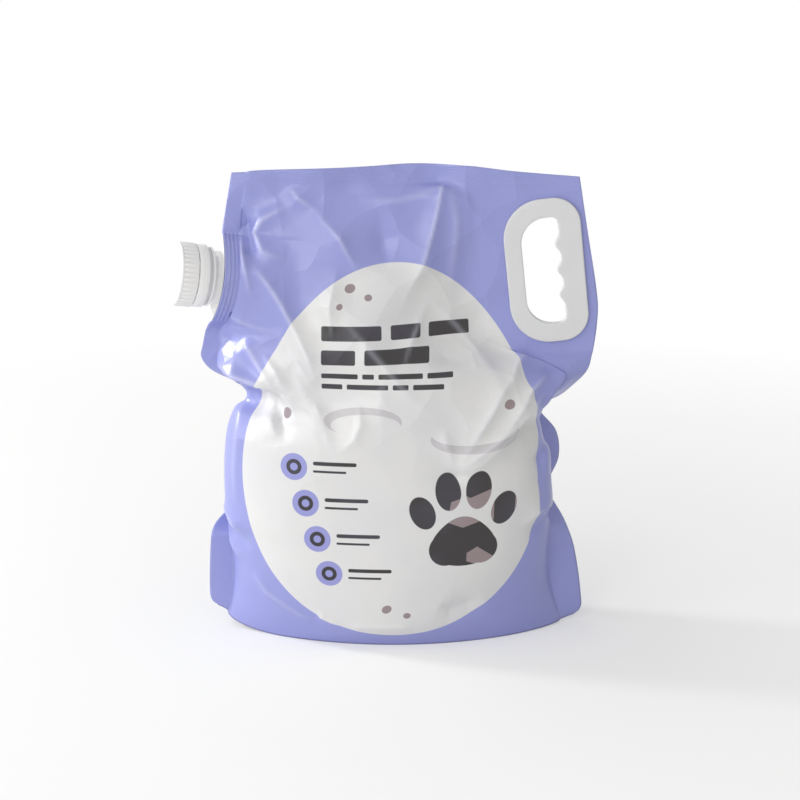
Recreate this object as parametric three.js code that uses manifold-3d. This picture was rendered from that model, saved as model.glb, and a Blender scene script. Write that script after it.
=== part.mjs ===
// Stand-up film pouch of cat litter, with a screw spout welded into its left edge and a two-part
// carry handle clamped through its sealed right shoulder. Millimetres, +Z up, front towards -Y.
// The origin is the middle of the base, on the surface that the pouch stands on.
import * as THREE from "three";
import { mergeVertices } from "three/addons/utils/BufferGeometryUtils.js";
import Module from "manifold-3d";

const wasm = await Module();
wasm.setup();

// Pouch
const POUCH_WIDTH = 316; // film edge to film edge, at the widest level
const POUCH_HEIGHT = 376; // base to top seal
const BASE_DEPTH_FRONT = 47; // base rim, centre plane to front
const BASE_DEPTH_BACK = 54;
const BELLY_DEPTH_FRONT = 66; // fullest part of the filled belly
const BELLY_DEPTH_BACK = 60;
const BELLY_HEIGHT = 70; // level of the fullest part
const CORNER_LIFT_LEFT = 15; // bottom corners above the floor
const CORNER_LIFT_RIGHT = 4;
const FILM_THICKNESS = 0.8; // two heat-sealed layers of laminate, drawn slightly full
const TOP_SEAL = 13; // height of the seal along the top edge
const SIDE_FIN = 12; // width of the seal down each side
const FOOT_FIN_LEFT = 21; // wider seal beside the bottom gusset
const FOOT_FIN_RIGHT = 22;
const FOOT_HEIGHT_LEFT = 84; // where the left foot seal ends and the film tucks back
const FOOT_HEIGHT_RIGHT = 92;
const WAIST_DROP_LEFT = 63; // spout's base to the waist, where the half-empty top slumps and folds in
const WAIST_DROP_RIGHT = 55.5; // sealed shoulder to the waist on the handle's side
const WAIST_NOTCH_LEFT = 34; // how far the fold comes in from the widest level
const WAIST_NOTCH_RIGHT = 42;
const GUSSET_RIDGE = 34; // how high the gusset folds up inside each bottom corner
const GUSSET_FLAT = 84; // half-length of the part of the gusset that lies on the floor
const GUSSET_SKIRT = 1.4; // film wall round the gusset

// Sealed shoulder and carry handle
const HANDLE_WIDTH = 61;
const HANDLE_HEIGHT = 113.5;
const HANDLE_THICKNESS = 3; // each half, proud of the film
const HANDLE_INNER_RADIUS = 31; // outer corners towards the pouch
const HANDLE_EDGE_RADIUS = 21; // outer corners towards the film's edge
const HANDLE_BEVEL = 0.9;
const HANDLE_LEAN = 6.5; // degrees, parallel with the film's edge
const HANDLE_EDGE_GAP = 11; // handle to film edge
const HANDLE_TOP_GAP = 24; // handle to top edge
const GRIP_HEIGHT = 84; // finger opening
const GRIP_SPINE = 13.5; // width of the ring on the pouch side
const GRIP_PALM = 17.5; // width of the ring behind the deepest finger scallop
const GRIP_CUSP = 3.7; // how far the ridges between the fingers stand out
const GRIP_CORNER = 20; // radius of the opening towards the pouch
const GRIP_TOE = 6; // radius of the opening's ends beside the fingers
const FINGER_PITCH = 20;
const FINGER_COUNT = 4;
const COLLAR_WALL = 2.4; // lip of the front half that passes through the film
const SHOULDER_MARGIN = 6; // flat sealed film round the handle

// Spout and screw cap, along the spout's own axis from the outer face of its welded base
const SPOUT_DROP = 85; // top edge to spout axis
const SPOUT_YAW = 20; // degrees towards the front
const SPOUT_TILT = 9; // degrees upwards
const BOAT_HALF_LENGTH = 35; // welded boat-shaped base, along the film's edge
const BOAT_HALF_THICKNESS = 20.6;
const BOAT_DEPTH = 13;
const BOAT_RIBS = 4;
const BOAT_RIB_HEIGHT = 0.7;
const NECK_BORE = 36;
const NECK_WALL = 2.4;
const FLANGE_DIAMETER = 46;
const FLANGE_THICKNESS = 2;
const FLANGE_HEIGHT = 6; // boat to flange
const BAND_GAP = 3.2; // flange to tamper band
const BAND_HEIGHT = 8;
const BAND_WALL = 1.7;
const BAND_BEAD = 1.2; // bead on the neck that traps the band
const CAP_DIAMETER = 50;
const CAP_HEIGHT = 14.2;
const CAP_TOP = 1.7;
const CAP_RIBS = 40;
const CAP_RIB_DEPTH = 0.7;
const CAP_SEAM = 0.5; // cap to tamper band
const LINER_THICKNESS = 1.1;
const THREAD_LEAD = 9; // travel for one whole turn of the cap
const THREAD_STARTS = 2;
const THREAD_DEPTH = 1.3;
const THREAD_ROOT = 1.9; // thickness of the thread where it leaves the wall
const THREAD_TIP = 0.9;
const THREAD_TURNS = 0.6; // length of each start
const FIT = 0.3; // clearance between pieces that seat on each other

const EDGE = POUCH_WIDTH / 2;
const HALF_FILM = FILM_THICKNESS / 2;
const SPOUT_LEVEL = POUCH_HEIGHT - SPOUT_DROP;
const NECK_RADIUS = NECK_BORE / 2 + NECK_WALL;
const degrees = (angle) => (angle * Math.PI) / 180;
const smooth = (t) => {
  const c = Math.min(1, Math.max(0, t));
  return c * c * (3 - 2 * c);
};

// A smooth curve through [position, value] stations, level beyond its two ends.
function curve(stations) {
  const slope = stations.map((station, i) => {
    const before = stations[Math.max(0, i - 1)];
    const after = stations[Math.min(stations.length - 1, i + 1)];
    return (after[1] - before[1]) / (after[0] - before[0]);
  });
  return (at) => {
    if (at <= stations[0][0]) return stations[0][1];
    for (let i = 1; i < stations.length; i++) {
      const [a, low] = stations[i - 1];
      const [b, high] = stations[i];
      if (at > b) continue;
      const span = b - a;
      const t = (at - a) / span;
      const rise = high - low;
      const inner = slope[i - 1] * span - rise;
      const outer = rise - slope[i] * span;
      return low + rise * t + t * (1 - t) * (inner * (1 - t) + outer * t);
    }
    return stations[stations.length - 1][1];
  };
}

// Levels that the curves below share.
const SHOULDER_FOOT = POUCH_HEIGHT - HANDLE_TOP_GAP - HANDLE_HEIGHT - SHOULDER_MARGIN;
const WAIST_HEIGHT_LEFT = SPOUT_LEVEL - BOAT_HALF_LENGTH - WAIST_DROP_LEFT;
const WAIST_HEIGHT_RIGHT = SHOULDER_FOOT - WAIST_DROP_RIGHT;
const WIDEST_LEFT = WAIST_HEIGHT_LEFT + 42;
const WIDEST_RIGHT = WAIST_HEIGHT_RIGHT + 75;
const SEAL_LEVEL = POUCH_HEIGHT - TOP_SEAL;
const between = (low, high) => (share) => low + share * (high - low);
const flankLeft = between(FOOT_HEIGHT_LEFT, WAIST_HEIGHT_LEFT);
const flankRight = between(FOOT_HEIGHT_RIGHT, WAIST_HEIGHT_RIGHT);

// Half-depth of the filled body at each level, in front of and behind the film's edge plane.
const depthCurve = (base, belly) =>
  curve([
    [0, base],
    [BELLY_HEIGHT * 0.3, (base + belly) / 2 + 1],
    [BELLY_HEIGHT, belly],
    [flankLeft(0.63), belly * 0.88],
    [WAIST_HEIGHT_LEFT, belly * 0.74],
    [WIDEST_LEFT, belly * 0.58],
    [SPOUT_LEVEL, belly * 0.36],
    [SEAL_LEVEL - 32, belly * 0.17],
    [SEAL_LEVEL - 8, belly * 0.03],
    [SEAL_LEVEL, 0],
  ]);
const depth = {
  front: depthCurve(BASE_DEPTH_FRONT, BELLY_DEPTH_FRONT),
  back: depthCurve(BASE_DEPTH_BACK, BELLY_DEPTH_BACK),
};

// Where the outer corner of each side seal stands: how far out, and how far back.
const left = {
  out: curve([
    [0, EDGE - 8],
    [CORNER_LIFT_LEFT, EDGE - 7],
    [CORNER_LIFT_LEFT + 7, EDGE - 3],
    [FOOT_HEIGHT_LEFT - 12, EDGE - 6],
    [FOOT_HEIGHT_LEFT, EDGE - 9],
    [flankLeft(0.083), EDGE - 20],
    [flankLeft(0.165), EDGE - 38],
    [flankLeft(0.87), EDGE - 44],
    [WAIST_HEIGHT_LEFT + 3, EDGE - WAIST_NOTCH_LEFT - 3],
    [WAIST_HEIGHT_LEFT + 12, EDGE - 22],
    [WAIST_HEIGHT_LEFT + 22, EDGE - 9],
    [WAIST_HEIGHT_LEFT + 33, EDGE - 2.5],
    [WIDEST_LEFT, EDGE - 4],
    [WIDEST_LEFT + 22, EDGE - 9],
    [SPOUT_LEVEL, EDGE - 17],
    [SPOUT_LEVEL + BOAT_HALF_LENGTH, EDGE - 22],
    [POUCH_HEIGHT, EDGE - 31],
  ]),
  back: curve([
    [FOOT_HEIGHT_LEFT - 8, 0],
    [FOOT_HEIGHT_LEFT, 5],
    [flankLeft(0.083), 20],
    [flankLeft(0.165), 38],
    [flankLeft(0.63), 45],
    [flankLeft(0.91), 40],
    [WAIST_HEIGHT_LEFT + 4, 28],
    [WAIST_HEIGHT_LEFT + 14, 12],
    [WAIST_HEIGHT_LEFT + 26, 3],
    [WIDEST_LEFT, 0],
    [SPOUT_LEVEL - BOAT_HALF_LENGTH, -2],
    [SPOUT_LEVEL, -5],
    [SPOUT_LEVEL + BOAT_HALF_LENGTH, -2],
    [SPOUT_LEVEL + BOAT_HALF_LENGTH + 16, 0],
  ]),
  root: curve([
    [0, EDGE - 16],
    [BELLY_HEIGHT * 0.6, EDGE - 3 - FOOT_FIN_LEFT],
    [FOOT_HEIGHT_LEFT - 12, EDGE - 3 - FOOT_FIN_LEFT],
    [flankLeft(0.02), EDGE - 22],
    [flankLeft(0.11), EDGE - 19.5],
    [flankLeft(0.4), EDGE - 19],
    [flankLeft(0.745), EDGE - 22],
    [flankLeft(0.91), EDGE - 28],
    [WAIST_HEIGHT_LEFT, EDGE - WAIST_NOTCH_LEFT - 1],
    [WAIST_HEIGHT_LEFT + 10, EDGE - WAIST_NOTCH_LEFT + 4],
    [WAIST_HEIGHT_LEFT + 22, EDGE - 9 - SIDE_FIN],
    [WIDEST_LEFT, EDGE - 4 - SIDE_FIN],
    [SPOUT_LEVEL, EDGE - 17 - SIDE_FIN],
    [POUCH_HEIGHT, EDGE - 31 - SIDE_FIN],
  ]),
  wrap: curve([
    [FOOT_HEIGHT_LEFT - 6, 0],
    [flankLeft(0.13), 33],
    [flankLeft(0.725), 36],
    [WAIST_HEIGHT_LEFT, 24],
    [WAIST_HEIGHT_LEFT + 18, 0],
  ]),
};
const right = {
  out: curve([
    [0, EDGE - 11],
    [CORNER_LIFT_RIGHT + 8, EDGE - 5],
    [FOOT_HEIGHT_RIGHT - 30, EDGE - 12],
    [FOOT_HEIGHT_RIGHT - 8, EDGE - 20],
    [flankRight(0.047), EDGE - 28],
    [flankRight(0.165), EDGE - 36],
    [flankRight(0.28), EDGE - 30],
    [flankRight(0.495), EDGE - 24],
    [flankRight(0.74), EDGE - 27],
    [flankRight(0.93), EDGE - WAIST_NOTCH_RIGHT + 2],
    [WAIST_HEIGHT_RIGHT + 1, EDGE - WAIST_NOTCH_RIGHT - 1],
    [WAIST_HEIGHT_RIGHT + 9, EDGE - 28],
    [WAIST_HEIGHT_RIGHT + 20, EDGE - 17],
    [WAIST_HEIGHT_RIGHT + 35, EDGE - 6],
    [WAIST_HEIGHT_RIGHT + 50, EDGE - 3],
    [WIDEST_RIGHT, EDGE],
    [WIDEST_RIGHT + 20, EDGE],
    [POUCH_HEIGHT - 46, EDGE - 10],
    [POUCH_HEIGHT, EDGE - 18],
  ]),
  back: curve([
    [0, 7],
    [FOOT_HEIGHT_RIGHT - 30, 10],
    [FOOT_HEIGHT_RIGHT - 8, 16],
    [flankRight(0.07), 30],
    [flankRight(0.19), 38],
    [flankRight(0.495), 36],
    [flankRight(0.835), 38],
    [WAIST_HEIGHT_RIGHT, 36],
    [WAIST_HEIGHT_RIGHT + 10, 26],
    [WAIST_HEIGHT_RIGHT + 24, 16],
    [WAIST_HEIGHT_RIGHT + 38, 8],
    [SHOULDER_FOOT - 2, 0],
  ]),
  root: curve([
    [0, EDGE - 22],
    [BELLY_HEIGHT * 0.6, EDGE - 11 - FOOT_FIN_RIGHT],
    [FOOT_HEIGHT_RIGHT, EDGE - 11 - FOOT_FIN_RIGHT],
    [flankRight(0.165), EDGE - 32],
    [flankRight(0.65), EDGE - 34],
    [flankRight(0.905), EDGE - WAIST_NOTCH_RIGHT],
    [WAIST_HEIGHT_RIGHT, EDGE - WAIST_NOTCH_RIGHT - 1],
    [WAIST_HEIGHT_RIGHT + 10, EDGE - 38],
    [WAIST_HEIGHT_RIGHT + 26, EDGE - 26],
    [SHOULDER_FOOT - 22, EDGE - 22],
    [SHOULDER_FOOT - 10, EDGE - 42],
    [SHOULDER_FOOT - 2, EDGE - 72],
    [SHOULDER_FOOT + 6, EDGE - HANDLE_EDGE_GAP - HANDLE_WIDTH - SHOULDER_MARGIN - 4],
    [POUCH_HEIGHT, EDGE - HANDLE_EDGE_GAP - HANDLE_WIDTH - SHOULDER_MARGIN - 14],
  ]),
  wrap: curve([
    [FOOT_HEIGHT_RIGHT - 10, 0],
    [flankRight(0.14), 24],
    [flankRight(0.765), 26],
    [WAIST_HEIGHT_RIGHT, 22],
    [WAIST_HEIGHT_RIGHT + 22, 0],
  ]),
};

// The top and bottom edges of the film, from the left corner (-1) to the right corner (1).
const topSag = curve([
  [-1, -4],
  [-0.6, -1.5],
  [0, 0.5],
  [0.2, 2.5],
  [0.42, 1],
  [0.66, -3],
  [1, -7],
]);
const topWave = curve([
  [-1, 3],
  [-0.5, -3],
  [0.15, 6],
  [0.5, 0],
]);
const edgeTop = (s) => POUCH_HEIGHT + topSag(s);
const edgeBottom = (s) => {
  const lift = s < 0 ? CORNER_LIFT_LEFT : CORNER_LIFT_RIGHT;
  return lift * Math.max(0, (Math.abs(s) - 0.5) / 0.5) ** 1.5;
};

// How pointed the body's section is at its ends: a lens where the gusset is sealed in, round where
// the belly is full, and drawn out again where the film is slack.
const pointedCurve = (slackLevel, slack, top) =>
  curve([
    [0, 1.75],
    [BELLY_HEIGHT * 0.3, 1.45],
    [BELLY_HEIGHT, 1.05],
    [flankLeft(0.725), 1],
    [slackLevel, slack],
    [POUCH_HEIGHT, top],
  ]);
const pointed = {
  left: pointedCurve(WIDEST_LEFT + 20, 1.5, 1.7),
  right: pointedCurve(SHOULDER_FOOT + 8, 2.2, 2.6), // runs out into the flat sealed shoulder
};

// Folds in the front film, as [from, to] in the front view, with how far each end stands out
// (or in, if negative) and how far the fold's two flanks spread.
const atLeft = (inset) => -(EDGE - inset);
const atRight = (inset) => EDGE - inset;
const bellyDent = [atRight(108), WAIST_HEIGHT_RIGHT - 48];
const chestBend = [atLeft(58), SPOUT_LEVEL - 22];
const folds = [
  // the left waist: a deep pocket under the slumped lobe
  {
    from: [atLeft(24), WAIST_HEIGHT_LEFT + 2],
    to: [atLeft(58), WAIST_HEIGHT_LEFT - 8],
    rise: [-24, -3],
    spread: 17,
  },
  // the lobe's lower lip above that pocket
  {
    from: [atLeft(18), WAIST_HEIGHT_LEFT + 24],
    to: [atLeft(56), WAIST_HEIGHT_LEFT + 4],
    rise: [7, 5],
    spread: 13,
  },
  // the right waist: two ridges that meet at a dent in the belly
  {
    from: [atRight(46), WAIST_HEIGHT_RIGHT - 2],
    to: bellyDent,
    rise: [7, 2],
    spread: 13,
  },
  {
    from: [atRight(78), WAIST_HEIGHT_RIGHT + 24],
    to: bellyDent,
    rise: [5, 1],
    spread: 12,
  },
  {
    from: [atRight(44), WAIST_HEIGHT_RIGHT + 10],
    to: [atRight(76), WAIST_HEIGHT_RIGHT - 4],
    rise: [-9, -2],
    spread: 12,
  },
  // the long ridge from the spout's upper corner down the slack chest
  {
    from: [atLeft(30), SPOUT_LEVEL + 28],
    to: chestBend,
    rise: [3, 7],
    spread: 12,
  },
  {
    from: chestBend,
    to: [atLeft(92), SPOUT_LEVEL - 88],
    rise: [7, 2],
    spread: 14,
  },
  // the ridge below the middle of the top seal
  {
    from: [35, SEAL_LEVEL - 2],
    to: [14, SPOUT_LEVEL + 4],
    rise: [4, 6],
    spread: 15,
  },
];

function foldHeight(x, z) {
  return folds.reduce((sum, { from, to, rise, spread }) => {
    const run = [to[0] - from[0], to[1] - from[1]];
    const along = ((x - from[0]) * run[0] + (z - from[1]) * run[1]) / (run[0] ** 2 + run[1] ** 2);
    const t = Math.min(1, Math.max(0, along));
    const away = Math.hypot(x - from[0] - run[0] * t, z - from[1] - run[1] * t);
    return sum + (rise[0] + (rise[1] - rise[0]) * t) * smooth(1 - away / spread);
  }, 0);
}

// The film stands off round the spout's welded base and closes again further in.
function spoutSwell(x, z) {
  const across = Math.max(0, 1 - ((z - SPOUT_LEVEL) / (BOAT_HALF_LENGTH - 1)) ** 2);
  const inward = smooth((-x - (EDGE - 88)) / 60);
  return (BOAT_HALF_THICKNESS - 2) * across * inward;
}

const FIN_SHARE = 0.9; // share of the columns across each half that the body takes

// A point of the film's front (face -1) or back (face 1) surface: s runs from -1 at the left edge
// to 1 at the right edge, v from 0 at the bottom edge to 1 at the top edge.
function filmPoint(s, v, face) {
  const z = edgeBottom(s) + v * (edgeTop(s) - edgeBottom(s));
  const onBody = (angle) => {
    const isLeft = Math.cos(angle) < 0;
    const side = isLeft ? left : right;
    const power = isLeft ? pointed.left(z) : pointed.right(z);
    const half = Math.sin(angle) > 0 ? -depth.front(z) : depth.back(z);
    return [side.root(z) * Math.cos(angle), half * Math.abs(Math.sin(angle)) ** power];
  };
  const wrapLeft = Math.PI + degrees(left.wrap(z));
  const wrapRight = -degrees(right.wrap(z));
  const end = face < 0 ? wrapRight : wrapRight + 2 * Math.PI;
  const t = Math.min(1, Math.abs(s) / FIN_SHARE);
  const k = (1 + Math.sign(s) * t) / 2;
  const even = k + (0.3 * Math.sin(2 * Math.PI * k)) / (2 * Math.PI);
  let [x, y] = onBody(wrapLeft + (end - wrapLeft) * even);
  const wave = topWave(s) * smooth((z - SEAL_LEVEL + 14) / 24);
  if (t < 1) {
    y += face * (HALF_FILM + spoutSwell(x, z));
    if (face < 0) y -= foldHeight(x, z) * smooth((1 - t) / 0.12) * smooth((SEAL_LEVEL - z) / 6);
    return [x, y + wave, z];
  }
  const side = s < 0 ? left : right;
  const sign = Math.sign(s);
  const tip = [sign * side.out(z), side.back(z)];
  const run = [tip[0] - x, tip[1] - y];
  const reach = Math.hypot(...run);
  const normal = [(sign * run[1]) / reach, (-sign * run[0]) / reach]; // towards the front
  const share = (Math.abs(s) - FIN_SHARE) / (1 - FIN_SHARE);
  const lift = -face * HALF_FILM;
  return [
    x + run[0] * share + normal[0] * lift,
    y + run[1] * share + normal[1] * lift + wave,
    z,
  ];
}

function bufferGeometry(positions, triangles) {
  return new THREE.BufferGeometry()
    .setAttribute("position", new THREE.Float32BufferAttribute(positions.flat(), 3))
    .setIndex(triangles.flat());
}

// A three.js geometry as a closed solid, and back.
function solidOf(geometry) {
  const bare = geometry.clone();
  bare.deleteAttribute("normal");
  bare.deleteAttribute("uv");
  const merged = mergeVertices(bare, 1e-4);
  return new wasm.Manifold(
    new wasm.Mesh({
      numProp: 3,
      vertProperties: merged.attributes.position.array,
      triVerts: new Uint32Array(merged.index.array),
    }),
  );
}

function geometryOf(solid) {
  const { vertProperties, triVerts } = solid.getMesh();
  return new THREE.BufferGeometry()
    .setAttribute("position", new THREE.BufferAttribute(new Float32Array(vertProperties), 3))
    .setIndex(new THREE.BufferAttribute(new Uint32Array(triVerts), 1));
}

// The closed pouch: front and back film, sealed edges, and the gusset underneath.
const COLUMNS = 36;
const ROWS = 44;
const GUSSET_STEPS = 8;
function pouchSolid() {
  const points = [];
  const triangles = [];
  const add = (point) => points.push(point) - 1;
  const quad = (a, b, c, d) => triangles.push([a, b, c], [a, c, d]);
  const column = (i) => -1 + (2 * i) / COLUMNS;
  const sheet = (face) =>
    Array.from({ length: COLUMNS + 1 }, (_, i) =>
      Array.from({ length: ROWS + 1 }, (_, j) => add(filmPoint(column(i), j / ROWS, face))),
    );
  const front = sheet(-1);
  const back = sheet(1);
  for (let i = 0; i < COLUMNS; i++) {
    for (let j = 0; j < ROWS; j++) {
      quad(front[i][j], front[i + 1][j], front[i + 1][j + 1], front[i][j + 1]);
      quad(back[i + 1][j], back[i][j], back[i][j + 1], back[i + 1][j + 1]);
    }
    quad(front[i][ROWS], front[i + 1][ROWS], back[i + 1][ROWS], back[i][ROWS]);
  }
  // the gusset film between the two bottom edges: flat on the floor, folded up towards each corner
  const underside = front.map((frontColumn, i) => {
    const [x, frontY, z] = points[frontColumn[0]];
    const backY = points[back[i][0]][1];
    const wall = Math.min(GUSSET_SKIRT, (backY - frontY) / 4);
    const gap = backY - frontY - 2 * GUSSET_SKIRT;
    const rise = Math.max(0, (Math.abs(x) - GUSSET_FLAT) / (EDGE - FOOT_FIN_LEFT - GUSSET_FLAT));
    const ridge = GUSSET_RIDGE * Math.min(1, rise) * smooth((gap - 8) / 26);
    const inner = Array.from({ length: GUSSET_STEPS - 1 }, (_, k) => {
      const w = k / (GUSSET_STEPS - 2);
      const y = frontY + wall + w * (backY - frontY - 2 * wall);
      return add([x, y, z + ridge * (1 - Math.abs(2 * w - 1) ** 1.6)]);
    });
    return [frontColumn[0], ...inner, back[i][0]];
  });
  for (let i = 0; i < COLUMNS; i++) {
    for (let k = 0; k < GUSSET_STEPS; k++) {
      quad(underside[i][k], underside[i][k + 1], underside[i + 1][k + 1], underside[i + 1][k]);
    }
  }
  // the sealed edges at the two sides, whose lowest cell fans out to the gusset's corner points
  [0, COLUMNS].forEach((i) => {
    const flip = i === 0;
    const face = (a, b, c) => triangles.push(flip ? [a, b, c] : [a, c, b]);
    for (let j = 1; j < ROWS; j++) {
      face(front[i][j], front[i][j + 1], back[i][j + 1]);
      face(front[i][j], back[i][j + 1], back[i][j]);
    }
    const corner = underside[i];
    for (let k = 0; k < GUSSET_STEPS; k++) face(front[i][1], corner[k + 1], corner[k]);
    face(front[i][1], back[i][1], corner[GUSSET_STEPS]);
  });
  return solidOf(bufferGeometry(points, triangles));
}

// A closed solid through a pile of [height, ring] levels, whose rings run anticlockwise.
function pile(levels) {
  const count = levels[0][1].length;
  const points = levels.flatMap(([height, ring]) => ring.map(([x, y]) => [x, y, height]));
  const triangles = [];
  for (let level = 0; level + 1 < levels.length; level++) {
    for (let i = 0; i < count; i++) {
      const a = level * count + i;
      const b = level * count + ((i + 1) % count);
      triangles.push([a, b, b + count], [a, b + count, a + count]);
    }
  }
  const cap = (level, flip) => {
    const contour = levels[level][1].map(([x, y]) => new THREE.Vector2(x, y));
    THREE.ShapeUtils.triangulateShape(contour, []).forEach(([a, b, c]) => {
      const base = level * count;
      triangles.push(flip ? [base + a, base + c, base + b] : [base + a, base + b, base + c]);
    });
  };
  cap(0, true);
  cap(levels.length - 1, false);
  return solidOf(bufferGeometry(points, triangles));
}

// A solid turned about +Z through [radius, height] points that start and end on the axis.
const TURN_STEPS = 40;
function turned(profile, steps = TURN_STEPS) {
  const lathe = new THREE.LatheGeometry(
    profile.map(([r, z]) => new THREE.Vector2(r, z)),
    steps,
  );
  return solidOf(lathe.rotateX(Math.PI / 2));
}
const disc = (radius, low, high, steps) =>
  turned([[0, low], [radius, low], [radius, high], [0, high]], steps);

// Outline of the spout's boat-shaped base: two arcs that meet in blunt ends.
const BOAT_POINTS = 12;
const BOAT_TIP = 0.9; // half-thickness left at the blunt ends
function boatRing(grow) {
  const half = BOAT_HALF_THICKNESS - BOAT_TIP;
  const side = Array.from({ length: BOAT_POINTS + 1 }, (_, i) => {
    const along = -1 + (2 * i) / BOAT_POINTS;
    return [along * (BOAT_HALF_LENGTH + grow), BOAT_TIP + grow + half * (1 - along * along)];
  });
  return [...side.map(([x, y]) => [x, -y]), ...[...side].reverse()];
}

// One start of a screw thread round +Z, standing out from a wall (outward 1) or in from it (-1).
const THREAD_STEPS = 18;
function threadStart(wall, outward, startHeight, startAngle) {
  const root = wall - outward * 0.4;
  const tip = wall + outward * THREAD_DEPTH;
  const section = [
    [root, -THREAD_ROOT / 2],
    [tip, -THREAD_TIP / 2],
    [tip, THREAD_TIP / 2],
    [root, THREAD_ROOT / 2],
  ];
  if (outward < 0) section.reverse();
  const points = [];
  const triangles = [];
  for (let i = 0; i <= THREAD_STEPS; i++) {
    const turn = (THREAD_TURNS * i) / THREAD_STEPS;
    const angle = startAngle + 2 * Math.PI * turn;
    section.forEach(([r, dz]) =>
      points.push([
        r * Math.cos(angle),
        r * Math.sin(angle),
        startHeight + THREAD_LEAD * turn + dz,
      ]),
    );
  }
  for (let i = 0; i < THREAD_STEPS; i++) {
    for (let k = 0; k < 4; k++) {
      const a = 4 * i + k;
      const b = 4 * i + ((k + 1) % 4);
      triangles.push([a, b + 4, b], [a, a + 4, b + 4]);
    }
  }
  const last = 4 * THREAD_STEPS;
  triangles.push([0, 1, 2], [0, 2, 3]);
  triangles.push([last, last + 2, last + 1], [last, last + 3, last + 2]);
  return solidOf(bufferGeometry(points, triangles));
}

const material = (color, roughness, metalness = 0) =>
  new THREE.MeshStandardMaterial({ color, roughness, metalness });
const film = material(0xa6a7da, 0.38);
const milkyPlastic = material(0xf1efec, 0.45);
const greyPlastic = material(0xd2d2d3, 0.6);
const foam = material(0xe8e6e0, 0.9);

function piece(name, solid, look) {
  const mesh = new THREE.Mesh(geometryOf(solid), look);
  mesh.name = name;
  return mesh;
}

// Spout pieces are drawn along +Z with the boat's length along X, and the group turns them into place.
const BAND_FOOT = FLANGE_HEIGHT + FLANGE_THICKNESS + BAND_GAP;
const CAP_FOOT = BAND_FOOT + BAND_HEIGHT + CAP_SEAM;
const CAP_CEILING = CAP_FOOT + CAP_HEIGHT - CAP_TOP;
const MOUTH = CAP_CEILING - LINER_THICKNESS - 2 * FIT;
const BEAD_RADIUS = NECK_RADIUS + BAND_BEAD;
const BEAD_HEIGHT = 1.6;
const CAP_BORE_RADIUS = NECK_RADIUS + THREAD_DEPTH + 0.8;
const NECK_THREAD_START = CAP_FOOT + 2.2;

function spoutSolid() {
  const ribPitch = BOAT_DEPTH / (2 * BOAT_RIBS + 1);
  const levels = [];
  for (let i = 0; i <= 2 * BOAT_RIBS; i++) {
    const grow = i % 2 ? -BOAT_RIB_HEIGHT : 0;
    levels.push([-BOAT_DEPTH + i * ribPitch, boatRing(grow)]);
    levels.push([-BOAT_DEPTH + (i + 1) * ribPitch, boatRing(grow)]);
  }
  const beadTop = BAND_FOOT + BAND_HEIGHT - 2;
  const neck = turned([
    [0, -0.5],
    [NECK_RADIUS, -0.5],
    [NECK_RADIUS, FLANGE_HEIGHT],
    [FLANGE_DIAMETER / 2, FLANGE_HEIGHT],
    [FLANGE_DIAMETER / 2, FLANGE_HEIGHT + FLANGE_THICKNESS],
    [NECK_RADIUS, FLANGE_HEIGHT + FLANGE_THICKNESS],
    [NECK_RADIUS, beadTop - BEAD_HEIGHT],
    [BEAD_RADIUS, beadTop - BEAD_HEIGHT],
    [NECK_RADIUS, beadTop],
    [NECK_RADIUS, MOUTH - 0.6],
    [NECK_RADIUS - 0.6, MOUTH],
    [0, MOUTH],
  ]);
  const threads = Array.from({ length: THREAD_STARTS }, (_, i) =>
    threadStart(NECK_RADIUS, 1, NECK_THREAD_START, (2 * Math.PI * i) / THREAD_STARTS),
  );
  const body = threads.reduce((all, thread) => all.add(thread), pile(levels).add(neck));
  return body.subtract(disc(NECK_BORE / 2, -BOAT_DEPTH - 1, MOUTH + 1));
}

function capSolid() {
  const RIB_SHAPE = [0, 1, 1]; // groove, then the broad crown of the rib
  const ring = (shrink, ribbed) =>
    Array.from({ length: CAP_RIBS * RIB_SHAPE.length }, (_, i) => {
      const groove = ribbed && RIB_SHAPE[i % RIB_SHAPE.length] === 0 ? CAP_RIB_DEPTH : 0;
      const radius = CAP_DIAMETER / 2 - shrink - groove;
      const angle = (2 * Math.PI * i) / (CAP_RIBS * RIB_SHAPE.length);
      return [radius * Math.cos(angle), radius * Math.sin(angle)];
    });
  const top = CAP_FOOT + CAP_HEIGHT;
  const outside = pile([
    [CAP_FOOT, ring(0, true)],
    [top - 2, ring(0.4, true)],
    [top - 1.6, ring(0.4, false)],
    [top - 0.7, ring(0.6, false)],
    [top, ring(1.5, false)],
  ]);
  const hollow = disc(CAP_BORE_RADIUS, CAP_FOOT - 1, CAP_CEILING);
  const shell = outside.subtract(hollow);
  // the cap's own thread lies half a pitch below the neck's, so that the two pass each other
  const drop = THREAD_LEAD / THREAD_STARTS / 2;
  const rise = NECK_THREAD_START - drop + 1.6;
  const phase = (2 * Math.PI * 1.6) / THREAD_LEAD;
  return Array.from({ length: THREAD_STARTS }, (_, i) =>
    threadStart(CAP_BORE_RADIUS, -1, rise, phase + (2 * Math.PI * i) / THREAD_STARTS),
  ).reduce((all, thread) => all.add(thread), shell);
}

function bandSolid() {
  const outer = CAP_DIAMETER / 2 - 0.5;
  const inner = outer - BAND_WALL;
  const lip = NECK_RADIUS + FIT;
  const top = BAND_FOOT + BAND_HEIGHT;
  const section = [
    [lip, BAND_FOOT + 1.4],
    [lip, BAND_FOOT + 0.6],
    [inner, BAND_FOOT],
    [outer, BAND_FOOT],
    [outer, top - 0.4],
    [outer - 0.4, top],
    [inner, top],
    [inner, BAND_FOOT + 2.2],
    [lip, BAND_FOOT + 1.4],
  ];
  return turned(section);
}

const linerSolid = () =>
  disc(CAP_BORE_RADIUS - THREAD_DEPTH - FIT, MOUTH + FIT, CAP_CEILING - FIT);

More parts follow.
